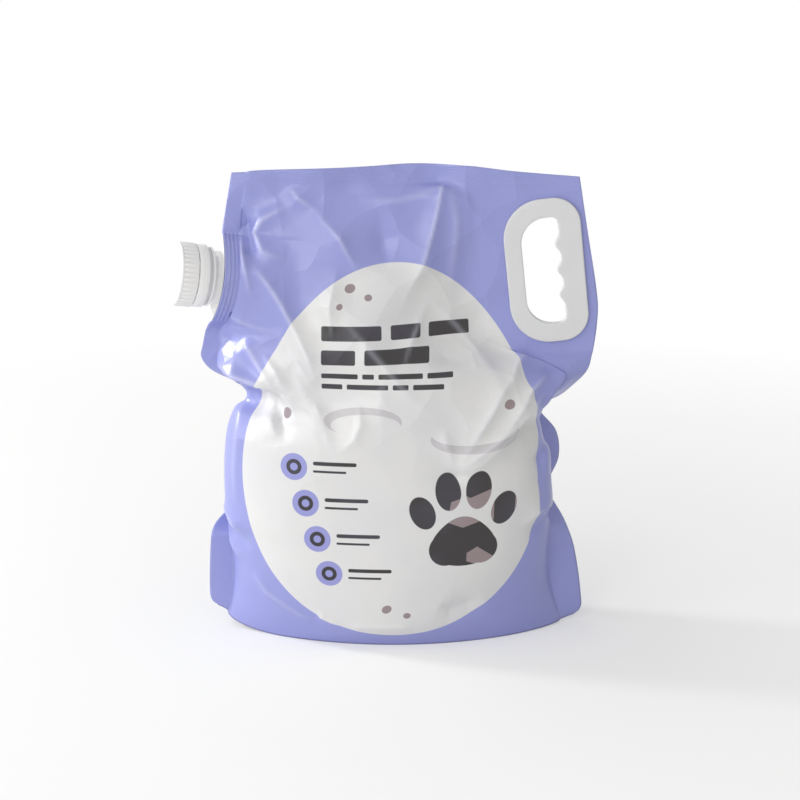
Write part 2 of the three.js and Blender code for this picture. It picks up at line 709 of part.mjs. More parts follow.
// Outlines of the handle in its own plane: X towards the film's edge, Y up, centred on the ring.
function roundedOutline(shape, low, high, leftRadius, rightRadius) {
  const [x0, y0] = low;
  const [x1, y1] = high;
  const quarter = Math.PI / 2;
  shape.moveTo(x0 + leftRadius, y0);
  shape.absarc(x1 - rightRadius, y0 + rightRadius, rightRadius, -quarter, 0);
  shape.absarc(x1 - rightRadius, y1 - rightRadius, rightRadius, 0, quarter);
  shape.absarc(x0 + leftRadius, y1 - leftRadius, leftRadius, quarter, 2 * quarter);
  shape.absarc(x0 + leftRadius, y0 + leftRadius, leftRadius, 2 * quarter, 3 * quarter);
  return shape;
}

const GRIP_LEFT = -HANDLE_WIDTH / 2 + GRIP_SPINE;
const GRIP_RIGHT = HANDLE_WIDTH / 2 - GRIP_PALM;
const GRIP_WEB = 1; // straight run left between the opening's corner and its toe
function gripOutline(shape, grow) {
  const quarter = Math.PI / 2;
  const top = GRIP_HEIGHT / 2 + grow;
  const x0 = GRIP_LEFT - grow;
  const x1 = GRIP_RIGHT + grow;
  const corner = Math.min(GRIP_CORNER, GRIP_RIGHT - GRIP_LEFT - GRIP_TOE - GRIP_WEB) + grow;
  const toe = GRIP_TOE + grow;
  shape.moveTo(x0 + corner, -top);
  shape.absarc(x1 - toe, -top + toe, toe, -quarter, 0);
  const span = FINGER_COUNT * FINGER_PITCH;
  const steps = 8 * FINGER_COUNT;
  for (let i = 0; i <= steps; i++) {
    const y = -span / 2 + (span * i) / steps;
    if (Math.abs(y) > top - toe) continue;
    const ridge = Math.abs(Math.cos((Math.PI * (y + span / 2)) / FINGER_PITCH)) ** 3;
    const inside = i > 4 && i < steps - 4 ? 1 : 0;
    shape.lineTo(x1 - GRIP_CUSP * ridge * inside, y);
  }
  shape.absarc(x1 - toe, top - toe, toe, 0, quarter);
  shape.absarc(x0 + corner, top - corner, corner, quarter, 2 * quarter);
  shape.absarc(x0 + corner, -top + corner, corner, 2 * quarter, 3 * quarter);
  return shape;
}

// A plate of the given outline and opening, from z = low to z = high, with both rims bevelled.
function plate(outline, opening, low, high, bevel) {
  if (opening) outline.holes.push(opening);
  const geometry = new THREE.ExtrudeGeometry(outline, {
    depth: high - low - 2 * bevel,
    bevelEnabled: bevel > 0,
    bevelThickness: bevel,
    bevelSize: bevel,
    bevelOffset: -bevel,
    bevelSegments: 1,
    curveSegments: 6,
  });
  return solidOf(geometry.translate(0, 0, low + bevel));
}

const HANDLE_CENTRE = [
  EDGE - HANDLE_EDGE_GAP - HANDLE_WIDTH / 2,
  POUCH_HEIGHT - HANDLE_TOP_GAP - HANDLE_HEIGHT / 2,
];
const handleRing = () =>
  roundedOutline(
    new THREE.Shape(),
    [-HANDLE_WIDTH / 2, -HANDLE_HEIGHT / 2],
    [HANDLE_WIDTH / 2, HANDLE_HEIGHT / 2],
    HANDLE_INNER_RADIUS,
    HANDLE_EDGE_RADIUS,
  );

// Handle solids are drawn with the film's middle at z = 0 and the front towards +z.
const FILM_FACE = HALF_FILM + FIT;
function frontHalf() {
  const face = plate(
    handleRing(),
    gripOutline(new THREE.Path(), 0),
    FILM_FACE,
    FILM_FACE + HANDLE_THICKNESS,
    HANDLE_BEVEL,
  );
  const collar = plate(
    gripOutline(new THREE.Shape(), COLLAR_WALL),
    gripOutline(new THREE.Path(), 0),
    -FILM_FACE,
    FILM_FACE + HANDLE_BEVEL + 0.4,
    0,
  );
  const relief = plate(
    gripOutline(new THREE.Shape(), 0),
    null,
    -FILM_FACE - 1,
    FILM_FACE + HANDLE_THICKNESS - HANDLE_BEVEL,
    0,
  );
  return face.add(collar).subtract(relief);
}

const backHalf = () =>
  plate(
    handleRing(),
    gripOutline(new THREE.Path(), 0),
    -FILM_FACE - FIT - HANDLE_THICKNESS,
    -FILM_FACE - FIT,
    HANDLE_BEVEL,
  );

// The hole that the collar passes through, as a solid to cut from the film.
const filmHole = () => {
  const reach = HANDLE_THICKNESS + FILM_THICKNESS;
  return plate(gripOutline(new THREE.Shape(), COLLAR_WALL + FIT), null, -reach, reach, 0);
};

const handlePlace = new THREE.Group();
handlePlace.position.set(HANDLE_CENTRE[0], 0, HANDLE_CENTRE[1]);
handlePlace.rotation.set(Math.PI / 2, -degrees(HANDLE_LEAN), 0, "YXZ");
handlePlace.updateMatrixWorld(true);

// The spout's group: +Z out along its axis, X up the film's edge.
const spoutPlace = new THREE.Group();
const yaw = degrees(SPOUT_YAW);
const tilt = degrees(SPOUT_TILT);
const axis = new THREE.Vector3(
  -Math.cos(yaw) * Math.cos(tilt),
  -Math.sin(yaw) * Math.cos(tilt),
  Math.sin(tilt),
);
const alongEdge = new THREE.Vector3(
  Math.cos(yaw) * Math.sin(tilt),
  Math.sin(yaw) * Math.sin(tilt),
  Math.cos(tilt),
);
const across = new THREE.Vector3().crossVectors(axis, alongEdge);
spoutPlace.matrixAutoUpdate = false;
spoutPlace.matrix.makeBasis(alongEdge, across, axis);
spoutPlace.matrix.setPosition(-left.out(SPOUT_LEVEL), left.back(SPOUT_LEVEL), SPOUT_LEVEL);
spoutPlace.updateMatrixWorld(true);

// The film wraps the boat's sides and ends at its outer face, clear of all that stands outside it.
const SLEEVE_OVERLAP = 3; // how far the wrap runs on past the boat's inner end, into the body
const CLEAR_OF_SPOUT = 10; // film kept away from the neck, round the boat's outline
function filmSleeve() {
  const wrap = boatRing(FIT + FILM_THICKNESS);
  return pile([
    [-BOAT_DEPTH - SLEEVE_OVERLAP, wrap],
    [-FIT, wrap],
  ]).transform(spoutPlace.matrixWorld.elements);
}
function boatPocket() {
  const pocket = pile([
    [-BOAT_DEPTH - FIT, boatRing(FIT)],
    [FLANGE_HEIGHT, boatRing(FIT)],
  ]);
  const outside = pile([
    [-FIT, boatRing(CLEAR_OF_SPOUT)],
    [MOUTH, boatRing(CLEAR_OF_SPOUT)],
  ]);
  return pocket.add(outside).transform(spoutPlace.matrixWorld.elements);
}

const bag = pouchSolid()
  .add(filmSleeve())
  .subtract(boatPocket())
  .subtract(filmHole().transform(handlePlace.matrixWorld.elements));

handlePlace.add(
  piece("handle_front", frontHalf(), greyPlastic),
  piece("handle_back", backHalf(), greyPlastic),
);
spoutPlace.add(
  piece("spout", spoutSolid(), milkyPlastic),
  piece("tamper_band", bandSolid(), milkyPlastic),
  piece("cap", capSolid(), milkyPlastic),
  piece("cap_liner", linerSolid(), foam),
);

const litterBag = new THREE.Group();
litterBag.add(piece("pouch", bag, film), handlePlace, spoutPlace);

export default litterBag;
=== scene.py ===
import math

import bmesh
import bpy
import numpy as np
from mathutils import Matrix, Vector


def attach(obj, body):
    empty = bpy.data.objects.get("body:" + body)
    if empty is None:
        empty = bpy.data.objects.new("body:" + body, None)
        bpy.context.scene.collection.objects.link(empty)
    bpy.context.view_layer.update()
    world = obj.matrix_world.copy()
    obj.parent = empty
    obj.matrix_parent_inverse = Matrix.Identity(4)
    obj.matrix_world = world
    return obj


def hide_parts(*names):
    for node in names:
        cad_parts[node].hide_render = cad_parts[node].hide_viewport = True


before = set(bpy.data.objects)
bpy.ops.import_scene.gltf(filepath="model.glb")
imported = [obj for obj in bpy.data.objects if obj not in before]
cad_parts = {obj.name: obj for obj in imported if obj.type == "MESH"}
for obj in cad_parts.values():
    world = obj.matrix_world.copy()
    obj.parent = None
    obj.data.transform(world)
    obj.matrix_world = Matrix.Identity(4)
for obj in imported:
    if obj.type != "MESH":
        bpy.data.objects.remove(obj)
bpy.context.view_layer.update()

MM = 0.001
scene = bpy.context.scene


# The film. One laminate of printed polyester over white polyethylene, folded to a front, a back and
# a bottom gusset and heat-sealed down both sides, along the top and round the gusset. The litter
# fills the belly; the top third is slack and has slumped, so that both sides fold in at the waist.
POUCH_WIDTH = 316
POUCH_HEIGHT = 376
EDGE = POUCH_WIDTH / 2
TOP_SEAL = 13
SEAL_LEVEL = POUCH_HEIGHT - TOP_SEAL
WAIST_LEFT = 193
BASE_DEPTH_FRONT = 47
BASE_DEPTH_BACK = 54
BELLY_FRONT = 66
BELLY_BACK = 60
BELLY_LEVEL = 70
CORNER_LIFT_LEFT = 15
CORNER_LIFT_RIGHT = 4
HALF_FILM = 0.35
SPOUT_LEVEL = 291
BOAT_HALF_LENGTH = 35
BOAT_HALF_THICKNESS = 20.6
BOAT_TIP = 0.9
BOAT_DEPTH = 13


def curve(*stations):
    """A smooth curve through (position, value) stations, level beyond its two ends."""
    at, value = np.array(stations, float).T
    before = np.maximum(np.arange(len(at)) - 1, 0)
    after = np.minimum(np.arange(len(at)) + 1, len(at) - 1)
    slope = (value[after] - value[before]) / (at[after] - at[before])

    def read(position):
        position = np.clip(position, at[0], at[-1])
        k = np.clip(np.searchsorted(at, position) - 1, 0, len(at) - 2)
        span = at[k + 1] - at[k]
        t = (position - at[k]) / span
        rise = value[k + 1] - value[k]
        inner = slope[k] * span - rise
        outer = rise - slope[k + 1] * span
        return value[k] + rise * t + t * (1 - t) * (inner * (1 - t) + outer * t)

    return read


def smooth(t):
    """An even step from 0 to 1 as t goes from 0 to 1."""
    t = np.clip(t, 0, 1)
    return t * t * (3 - 2 * t)


def body_depth(base, belly):
    """How deep the filled body is at each level, on one side of the seams."""
    return curve(
        (0, base), (21, (base + belly) / 2 + 1), (BELLY_LEVEL, belly), (WAIST_LEFT - 40, belly * 0.88),
        (WAIST_LEFT, belly * 0.74), (WAIST_LEFT + 42, belly * 0.58), (SPOUT_LEVEL, belly * 0.36),
        (SEAL_LEVEL - 32, belly * 0.17), (SEAL_LEVEL - 8, belly * 0.03), (SEAL_LEVEL, 0),
    )


depth_front = body_depth(BASE_DEPTH_FRONT, BELLY_FRONT)
depth_back = body_depth(BASE_DEPTH_BACK, BELLY_BACK)

# The two side seals: how far out and how far back their outer corner stands, where the body's own
# curve ends, and by how many degrees the film wraps round behind the body before the seal.
left_out = curve(
    (0, EDGE - 16), (15, EDGE - 11), (19, EDGE - 6), (27, EDGE - 4), (72, EDGE - 6), (84, EDGE - 9),
    (93, EDGE - 20), (102, EDGE - 38), (179, EDGE - 44), (196, EDGE - 37), (205, EDGE - 22),
    (215, EDGE - 9), (226, EDGE - 2.5),
    (235, EDGE - 4), (257, EDGE - 9), (291, EDGE - 17), (326, EDGE - 22), (376, EDGE - 31),
)
left_back = curve(
    (76, 0), (84, 5), (93, 20), (102, 38), (153, 45), (183, 40), (197, 28), (207, 12), (219, 3),
    (235, 0), (256, -2), (291, -5), (326, -2), (342, 0),
)
left_root = curve(
    (0, EDGE - 16), (42, EDGE - 24), (72, EDGE - 24), (86, EDGE - 22), (96, EDGE - 19.5), (128, EDGE - 19),
    (165, EDGE - 22), (183, EDGE - 28), (193, EDGE - 35), (203, EDGE - 30), (215, EDGE - 21),
    (235, EDGE - 16), (291, EDGE - 29), (376, EDGE - 43),
)
left_wrap = curve((78, 0), (98, 33), (163, 36), (193, 24), (211, 0))
right_out = curve(
    (0, EDGE - 18), (4, EDGE - 12), (8, EDGE - 7), (15, EDGE - 5), (62, EDGE - 12), (84, EDGE - 20),
    (96, EDGE - 28), (106, EDGE - 36), (116, EDGE - 30), (134, EDGE - 24), (155, EDGE - 27),
    (171, EDGE - 40), (178, EDGE - 43),
    (186, EDGE - 28), (197, EDGE - 17), (212, EDGE - 6), (227, EDGE - 3), (252, EDGE), (272, EDGE),
    (330, EDGE - 10), (376, EDGE - 18),
)
right_back = curve(
    (0, 7), (62, 10), (84, 16), (98, 30), (108, 38), (134, 36), (163, 38), (177, 36), (187, 26),
    (201, 16), (215, 8), (230, 0),
)
right_root = curve(
    (0, EDGE - 22), (42, EDGE - 33), (92, EDGE - 33), (106, EDGE - 32), (147, EDGE - 34),
    (169, EDGE - 42), (177, EDGE - 43), (187, EDGE - 38), (203, EDGE - 26), (212, EDGE - 24),
    (222, EDGE - 40), (232, EDGE - 66), (246, EDGE - 86), (300, EDGE - 94), (376, EDGE - 98),
)
right_wrap = curve((82, 0), (104, 24), (157, 26), (177, 22), (199, 0))
# How the top edge dips, and how the slack chest waves forward and back, by the share of the width.
top_sag = curve((-1, -4), (-0.6, -1.5), (0, 0.5), (0.2, 2.5), (0.42, 1), (0.66, -3), (1, -7))
top_wave = curve((-0.95, 3), (-0.45, -3), (0.12, 6), (0.34, 1.2), (0.46, 0), (0.6, 0))
# How pointed each end of the body's section is: 1 is round, and more thins out towards the seal.
pointed_left = curve((0, 1.75), (21, 1.45), (70, 1.05), (163, 1), (255, 1.5), (376, 1.7))
pointed_right = curve((0, 1.75), (21, 1.45), (70, 1.05), (163, 1), (200, 1.4), (242, 4.2), (376, 4.6))

# The spout's place: its axis points out of the left edge, turned to the front and tilted up.
SPOUT_YAW = math.radians(20)
SPOUT_TILT = math.radians(9)
SPOUT_HEADING = np.array([math.cos(SPOUT_YAW), math.sin(SPOUT_YAW), 0])
UPWARDS = np.array([0, 0, 1])
SPOUT_AXIS = math.sin(SPOUT_TILT) * UPWARDS - math.cos(SPOUT_TILT) * SPOUT_HEADING
ALONG_EDGE = math.cos(SPOUT_TILT) * UPWARDS + math.sin(SPOUT_TILT) * SPOUT_HEADING
ACROSS = np.cross(SPOUT_AXIS, ALONG_EDGE)
SPOUT_ORIGIN = np.array([-float(left_out(SPOUT_LEVEL)), float(left_back(SPOUT_LEVEL)), SPOUT_LEVEL])


def spout_point(along, across, out):
    """A point given along the film's edge, across it and out of it."""
    along, across, out = np.broadcast_arrays(*map(np.asarray, (along, across, out)))
    return (SPOUT_ORIGIN + along[..., None] * ALONG_EDGE + across[..., None] * ACROSS
            + out[..., None] * SPOUT_AXIS)


def boat_surface(z, out, face, clearance):
    """Where the film lies on the spout's boat-shaped base at a level."""
    share = np.clip((z - SPOUT_LEVEL - out * SPOUT_AXIS[2]) / (BOAT_HALF_LENGTH * ALONG_EDGE[2]), -1, 1)
    thick = BOAT_TIP + clearance + (BOAT_HALF_THICKNESS - BOAT_TIP) * (1 - share ** 2)
    return spout_point(share * BOAT_HALF_LENGTH, face * thick, out)


FIN_SHARE = 0.9
SHOULDER_START = 222
SHOULDER_RUN = 18
WELD_OVERLAP = 2
WELD_CLOSING = 7
shoulder_share = curve((0, FIN_SHARE), (170, FIN_SHARE), (205, 0.82), (242, 0.52), (376, 0.44))


def body_share(s, z):
    """How much of each half's columns the body takes; the flat sealed shoulder takes the rest."""
    return np.where(s < 0, FIN_SHARE, shoulder_share(z))


def film(s, v, face):
    """Smooth film points: s across from -1 (left) to 1, v up from 0 to 1, face -1 for the front."""
    s, v = np.broadcast_arrays(np.asarray(s, float), np.asarray(v, float))
    lift = np.where(s < 0, CORNER_LIFT_LEFT, CORNER_LIFT_RIGHT)
    bottom = lift * np.maximum(0, (np.abs(s) - 0.5) / 0.5) ** 1.5
    z = bottom + v * (POUCH_HEIGHT + top_sag(s) - bottom)
    front = depth_front(z)
    back = depth_back(z)
    start = np.pi + np.radians(left_wrap(z))
    end = -np.radians(right_wrap(z)) + (0 if face < 0 else 2 * np.pi)
    body = body_share(s, z)
    t = np.minimum(1, np.abs(s) / body)

    centre = (right_root(z) - left_root(z)) / 2
    half_width = (right_root(z) + left_root(z)) / 2

    def on_body(share):
        even = share + 0.3 * np.sin(2 * np.pi * share) / (2 * np.pi)
        angle = start + (end - start) * even
        # above the right shoulder the columns stand evenly across, so that the folds fade out softly
        middle = (start + end) / 2
        level = np.cos(middle) + (1 - np.cos(middle)) * np.clip(2 * share - 1, 0, 1)
        across = np.arccos(np.clip(level, -1, 1))
        across = across if face < 0 else 2 * np.pi - across
        angle = angle + (across - angle) * smooth((z - SHOULDER_START) / SHOULDER_RUN) * (share > 0.5)
        half = np.where(np.sin(angle) > 0, -front, back)
        rightness = smooth((1 + np.cos(angle)) / 2)
        power = pointed_left(z) + (pointed_right(z) - pointed_left(z)) * rightness
        return np.stack([centre + half_width * np.cos(angle), half * np.abs(np.sin(angle)) ** power], -1)

    flat = on_body((1 + np.sign(s) * t) / 2)
    point = np.stack([flat[..., 0], flat[..., 1] + face * HALF_FILM, z], -1)

    # the seals outside the body, two layers thick
    is_left = s < 0
    sign = np.where(is_left, -1.0, 1.0)
    tip = np.stack([sign * np.where(is_left, left_out(z), right_out(z)),
                    np.where(is_left, left_back(z), right_back(z))], -1)
    ripple = 0.9 * np.sin(z / 17 + 1) + 0.5 * np.sin(z / 7.3)
    tip[..., 1] += ripple * smooth((z - 20) / 30) * smooth((240 - z) / 20)
    root = on_body(np.where(is_left, 0.0, 1.0))
    run = tip - root
    reach = np.linalg.norm(run, axis=-1, keepdims=True)
    normal = np.stack([sign * run[..., 1], -sign * run[..., 0]], -1) / reach
    share = np.clip((np.abs(s) - body) / (1 - body), 0, 1)[..., None]
    fin = root + run * share - face * HALF_FILM * normal
    on_fin = np.abs(s) > body
    point[..., :2] = np.where(on_fin[..., None], fin, point[..., :2])

    # the film parts round the spout's base at the left edge and closes again further in
    closed = BOAT_HALF_LENGTH + WELD_OVERLAP + WELD_CLOSING
    wrap = smooth((closed - np.abs(z - SPOUT_LEVEL)) / WELD_CLOSING)
    inner = boat_surface(z, -BOAT_DEPTH, face, HALF_FILM + 0.5)
    outer = boat_surface(z, -0.3, face, HALF_FILM + 0.5)
    sleeve = inner + (outer - inner) * share
    on_sleeve = (wrap * is_left * on_fin)[..., None]
    point = point * (1 - on_sleeve) + sleeve * on_sleeve
    fold_in = smooth((t - 0.35) / 0.65) * wrap * (is_left & ~on_fin)
    body_root = np.stack([root[..., 0], root[..., 1] + face * HALF_FILM, z], -1)
    point = point + (inner - body_root) * fold_in[..., None]

    wave = top_wave(point[..., 0] / EDGE) * smooth((z - SEAL_LEVEL + 14) / 24)
    point[..., 1] += wave
    return point


# Folds in the front film: a line of (x, z, rise) in the front view, the reach of the two flanks and
# the radius of the crest. A negative rise is a valley.
FRONT_FOLDS = [
    # a flat facet beside the spout and the crest above it
    ([(-84, 362, 0), (-76, 352, 2.2), (-64, 344, 0.5), (-52, 338, 0)], 9, 1.0),
    ([(-86, 346, 0.5), (-104, 336, 2.5), (-111, 326, 3.2), (-104, 312, 2.0), (-86, 306, 0)], 8, 1.2),
    ([(-121, 346, 0), (-117, 332, -3.5), (-112, 314, -3.0), (-104, 300, 0)], 7, 1.5),
    # three pulls that fan out from the spout's weld
    ([(-122, 330, 0), (-119, 309, 2.4), (-112, 276, 0)], 5, 0.7),
    ([(-112, 303, 0), (-100, 288, 2.6), (-92, 277, 3.2), (-82, 261, 3.0), (-67, 233, 2.6), (-62, 212, 0)],
     9, 0.9),
    ([(-132, 262, 0.3), (-121, 259, 1.8), (-107, 253, 0.8), (-92, 250, 0)], 6, 0.8),
    # the corner lobe below the spout
    ([(-134, 257, -0.3), (-135, 243, -1.8), (-142, 226, 0)], 6, 1.4),
    ([(-118, 246, 0), (-115, 238, 2.4), (-98, 216, 2.8), (-90, 203, 0)], 8, 1.0),
    ([(-128, 236, 0), (-124, 220, 2.0), (-112, 208, 0)], 6, 0.9),
    # the lip of the lobe, and the pocket that it hangs over
    ([(-136, 222, 1), (-120, 217, 3), (-104, 211, 3), (-92, 204, 0)], 6, 1.0),
    ([(-116, 197, -3), (-108, 196, -4), (-99, 194, -2)], 7, 3.0),
    # creases in the belly below the pocket
    ([(-96, 203, -1), (-92, 186, -3.2), (-88, 166, 0)], 7, 1.0),
    ([(-101, 196, 0.5), (-98, 182, 1.8), (-94, 168, 0)], 5, 0.8),
    ([(-66, 208, 0), (-60, 192, 1.6), (-49, 161, 0.2)], 6, 0.7),
    ([(-30, 202, 0), (-28, 184, 1.8), (-33, 172, 1.6), (-48, 160, 0)], 6, 0.8),
    # the long crest below the top seal, and the soft one beside it
    ([(38, 366, 0), (35, 360, 3.4), (27, 331, 4.8), (18, 301, 3.6), (9, 284, 1.2), (0, 262, 0)], 12, 0.8),
    ([(41, 364, 0), (46, 336, 1.2), (44, 306, 1.0), (40, 280, 0)], 5, 2.4),
    ([(-30, 352, 0), (0, 350, 1.2), (24, 355, 1.0), (34, 360, 0)], 7, 1.5),
    # the shelf that carries the handle's corner
    ([(84, 254, 0), (98, 243, 2.6), (117, 232, 1.2), (128, 228, 0)], 6, 0.9),
    ([(86, 208, 0), (92, 218, 2.2), (100, 228, 3.0), (116, 234, 1.4), (126, 236, 0)], 7, 0.9),
    ([(138, 235, 0), (143, 237, 1.6), (156, 239, 0.6)], 4, 0.6),
    # soft pulls across the printed field
    ([(-42, 264, 0), (-20, 238, 1.6), (8, 207, 1.4), (38, 182, 0)], 13, 1.4),
    ([(18, 284, 0), (46, 252, 2.0), (68, 224, 1.4), (84, 208, 0)], 11, 1.2),
    ([(-88, 250, 0), (-72, 224, 1.8), (-62, 206, 0)], 7, 1.0),
    ([(-66, 346, 0), (-44, 322, 2.4), (-28, 294, 0)], 9, 0.8),
    ([(-16, 346, 0), (-10, 322, -2.2), (-6, 296, 0)], 10, 2.0),
    ([(-6, 230, 0), (-14, 196, 1.2), (-10, 168, 0)], 12, 2.0),
    # rays from the right waist into the belly
    ([(112, 199, 0.5), (100, 188, 4.4), (77, 168, 4.2), (60, 156, 2.4), (46, 146, 0)], 8, 0.8),
    ([(96, 216, 0), (82, 206, 3.0), (66, 181, 2.8), (53, 159, 1.0), (46, 146, 0)], 9, 0.9),
    ([(36, 184, 0), (38, 168, 1.6), (46, 147, 0.4)], 6, 0.8),
    ([(120, 214, 0), (104, 204, 3.2), (88, 184, 2.2), (70, 158, 0)], 5, 0.6),
    ([(108, 186, 0), (90, 172, 2.2), (66, 152, 1.2), (50, 145, 0)], 5, 0.7),
    ([(-104, 236, 0), (-92, 222, 2.6), (-84, 202, 2.0), (-80, 180, 0)], 6, 0.8),
    ([(-80, 226, 0), (-70, 204, 2.0), (-58, 176, 0)], 5, 0.7),
    ([(24, 276, 0), (12, 250, 2.2), (4, 222, 0)], 7, 0.9),
    ([(-46, 300, 0), (-52, 272, 2.0), (-50, 246, 0)], 7, 0.9),
    ([(46, 150, -1), (46, 143, -2.4), (47, 130, 0)], 9, 3.0),
    ([(112, 178, -1), (98, 174, -2.6), (80, 158, 0)], 8, 2.0),
    # dents in the right flank
    ([(118, 168, 0), (115, 150, -2.2), (116, 130, -2.0), (120, 112, 0)], 6, 1.6),
    ([(126, 108, 0), (112, 106, 1.8), (98, 98, 0)], 5, 0.8),
    ([(124, 96, -1), (112, 92, -1.8), (104, 84, 0)], 5, 1.2),
    # the crest down the left flank, and the tucks at the top of the left foot
    ([(-121, 196, 0), (-124, 184, 1.4), (-128, 140, 1.2), (-129, 108, 0)], 7, 1.0),
    ([(-139, 102, 1), (-130, 94, 2.6), (-120, 84, 0)], 4, 0.8),
    ([(-140, 90, 0.5), (-134, 76, 1.8), (-127, 62, 0)], 4, 0.8),
    ([(-136, 96, -1), (-127, 86, -1.8), (-118, 74, 0)], 4, 0.9),
    # the gusset's seal showing through the bottom of the front
    ([(-116, 56, 0), (-110, 50, 1.0), (-102, 41, 1.6), (-76, 26, 1.4), (-66, 23, 0)], 3.2, 0.6),
    ([(-64, 27, 0), (-60, 26, 1.1), (-51, 22, 0.8), (-44, 21, 0)], 3, 0.6),
    ([(-36, 19, 0), (-30, 19, 0.7), (5, 19, 0.7), (12, 19, 0)], 2.6, 0.6),
    ([(34, 38, 0), (43, 33, -1.6), (56, 36, -1.8), (68, 41, 0)], 7, 2.0),
]
BACK_FOLDS = [
    ([(-120, 330, 0), (-104, 305, 3.0), (-82, 272, 3.0), (-58, 236, 1.6), (-44, 210, 0)], 10, 1.0),
    ([(-126, 262, 0), (-104, 250, 2.6), (-78, 232, 2.0), (-56, 222, 0)], 7, 0.9),
    ([(-124, 204, -10), (-104, 199, -8), (-84, 192, -3), (-70, 188, 0)], 9, 2.4),
    ([(-118, 214, 3), (-98, 207, 4), (-76, 200, 2), (-60, 196, 0)], 7, 1.0),
    ([(-10, 364, 0), (-20, 338, 3.2), (-34, 300, 2.4), (-40, 270, 0)], 12, 1.4),
    ([(46, 366, 0), (52, 338, 2.2), (50, 300, 1.8), (44, 272, 0)], 10, 1.8),
    ([(118, 196, 1), (98, 182, 4.0), (72, 162, 3.4), (44, 146, 0)], 8, 0.9),
    ([(96, 222, 0), (80, 208, 3.0), (58, 184, 2.6), (40, 158, 0)], 9, 0.9),
    ([(30, 206, 0), (22, 184, 2.0), (20, 162, 0)], 7, 0.9),
    ([(-70, 194, 0), (-62, 172, 2.2), (-50, 148, 0)], 7, 0.9),
    ([(-20, 20, 0), (10, 19, 0.8), (48, 22, 0.8), (60, 26, 0)], 2.8, 0.6),
    ([(70, 27, 0), (92, 36, 1.4), (108, 50, 0)], 3, 0.6),
    ([(-108, 52, 0), (-88, 34, 1.4), (-62, 25, 0)], 3, 0.6),
]


# Ledges, where a slack lobe hangs over the film below: a line of (x, z, step), how far the step
# reaches, and which side stands out by it: 1 for the line's left-hand side and -1 for its right.
# The other side stands in by as much.
FRONT_LEDGES = [
    # the lobe below the spout, over the left waist
    ([(-90, 197, 0), (-98, 205, 4.5), (-110, 210, 7.5), (-124, 214, 8), (-142, 220, 3)], 9, -1),
    # the flap below the handle, over the right waist
    ([(112, 184, 0), (118, 191, 4.0), (130, 205, 5.0), (144, 221, 2.5), (150, 226, 0)], 8, 1),
    # the puffs down the right flank
    ([(122, 160, 0), (119, 148, 2.2), (121, 134, 0)], 7, 1),
    ([(112, 112, 0), (118, 106, 1.8), (126, 104, 1.0)], 7, 1),
]
BACK_LEDGES = [
    ([(-74, 190, 0), (-92, 197, 4.0), (-112, 203, 6.5), (-132, 208, 3)], 9, -1),
    ([(104, 176, 0), (114, 188, 4.0), (126, 204, 4.5), (140, 220, 2)], 8, 1),
]
LEDGE_EDGE = 1.3


def nearest_on_line(line, x, z):
    """From front-view points to a broken line: how far, its value there, and how far to its left."""
    best = np.full_like(x, 1e9)
    value = np.zeros_like(x)
    leftwards = np.zeros_like(x)
    for (x0, z0, r0), (x1, z1, r1) in zip(line, line[1:]):
        run = np.array([x1 - x0, z1 - z0])
        along = np.clip(((x - x0) * run[0] + (z - z0) * run[1]) / (run @ run), 0, 1)
        dx, dz = x - x0 - run[0] * along, z - z0 - run[1] * along
        away = np.hypot(dx, dz)
        nearer = away < best
        best = np.where(nearer, away, best)
        value = np.where(nearer, r0 + (r1 - r0) * along, value)
        leftwards = np.where(nearer, (run[0] * dz - run[1] * dx) / np.hypot(*run), leftwards)
    return best, value, leftwards


def ledge_rise(ledges, x, z):
    """The steps of all the ledges at points of the front view."""
    total = np.zeros_like(x)
    for line, reach, side in ledges:
        best, step, leftwards = nearest_on_line(line, x, z)
        total += step * np.tanh(leftwards * side / LEDGE_EDGE) * np.exp(-best / reach)
    return total


FOLD_GAIN = 2.15
FOLD_LIMIT = 16


def fold_rise(folds, x, z):
    """The sum of all the folds at front-view points, and how near each is to a crest."""
    total = np.zeros_like(x)
    crest_line = np.zeros_like(x)
    for line, reach, radius in folds:
        best, rise, _ = nearest_on_line(line, x, z)
        crest = np.sqrt(best ** 2 + radius ** 2) - radius
        total += rise * np.exp(-crest / reach)
        near = np.exp(-((best / (0.7 + radius)) ** 2))
        crest_line = np.maximum(crest_line, np.clip(rise / 3, 0, 1) * near)
    return FOLD_LIMIT * np.tanh(total * FOLD_GAIN / FOLD_LIMIT), crest_line


def grid_normals(point, face):
    """Outward unit normals of a grid of film points."""
    across = np.gradient(point, axis=0)
    up = np.gradient(point, axis=1)
    normal = np.cross(across, up) * (-face)
    return normal / (np.linalg.norm(normal, axis=-1, keepdims=True) + 1e-9)


def folded_film(s, v, face):
    """The film with its folds, before it settles, and where its crests are."""
    point = film(s, v, face)
    normal = grid_normals(point, face)
    folds = FRONT_FOLDS if face < 0 else BACK_FOLDS
    ledges = FRONT_LEDGES if face < 0 else BACK_LEDGES
    rise, crests = fold_rise(folds, point[..., 0], point[..., 2])
    rise += ledge_rise(ledges, point[..., 0], point[..., 2])
    t = np.abs(s) / body_share(s, point[..., 2])
    # the folds fade out towards the side seals, the top seal and the foot
    free = smooth((1.02 - t) / 0.1) * smooth((SEAL_LEVEL + 2 - point[..., 2]) / 6)
    free = free * smooth((v + 0 * s) / 0.03)
    return point + normal * (rise * free)[..., None], crests * free


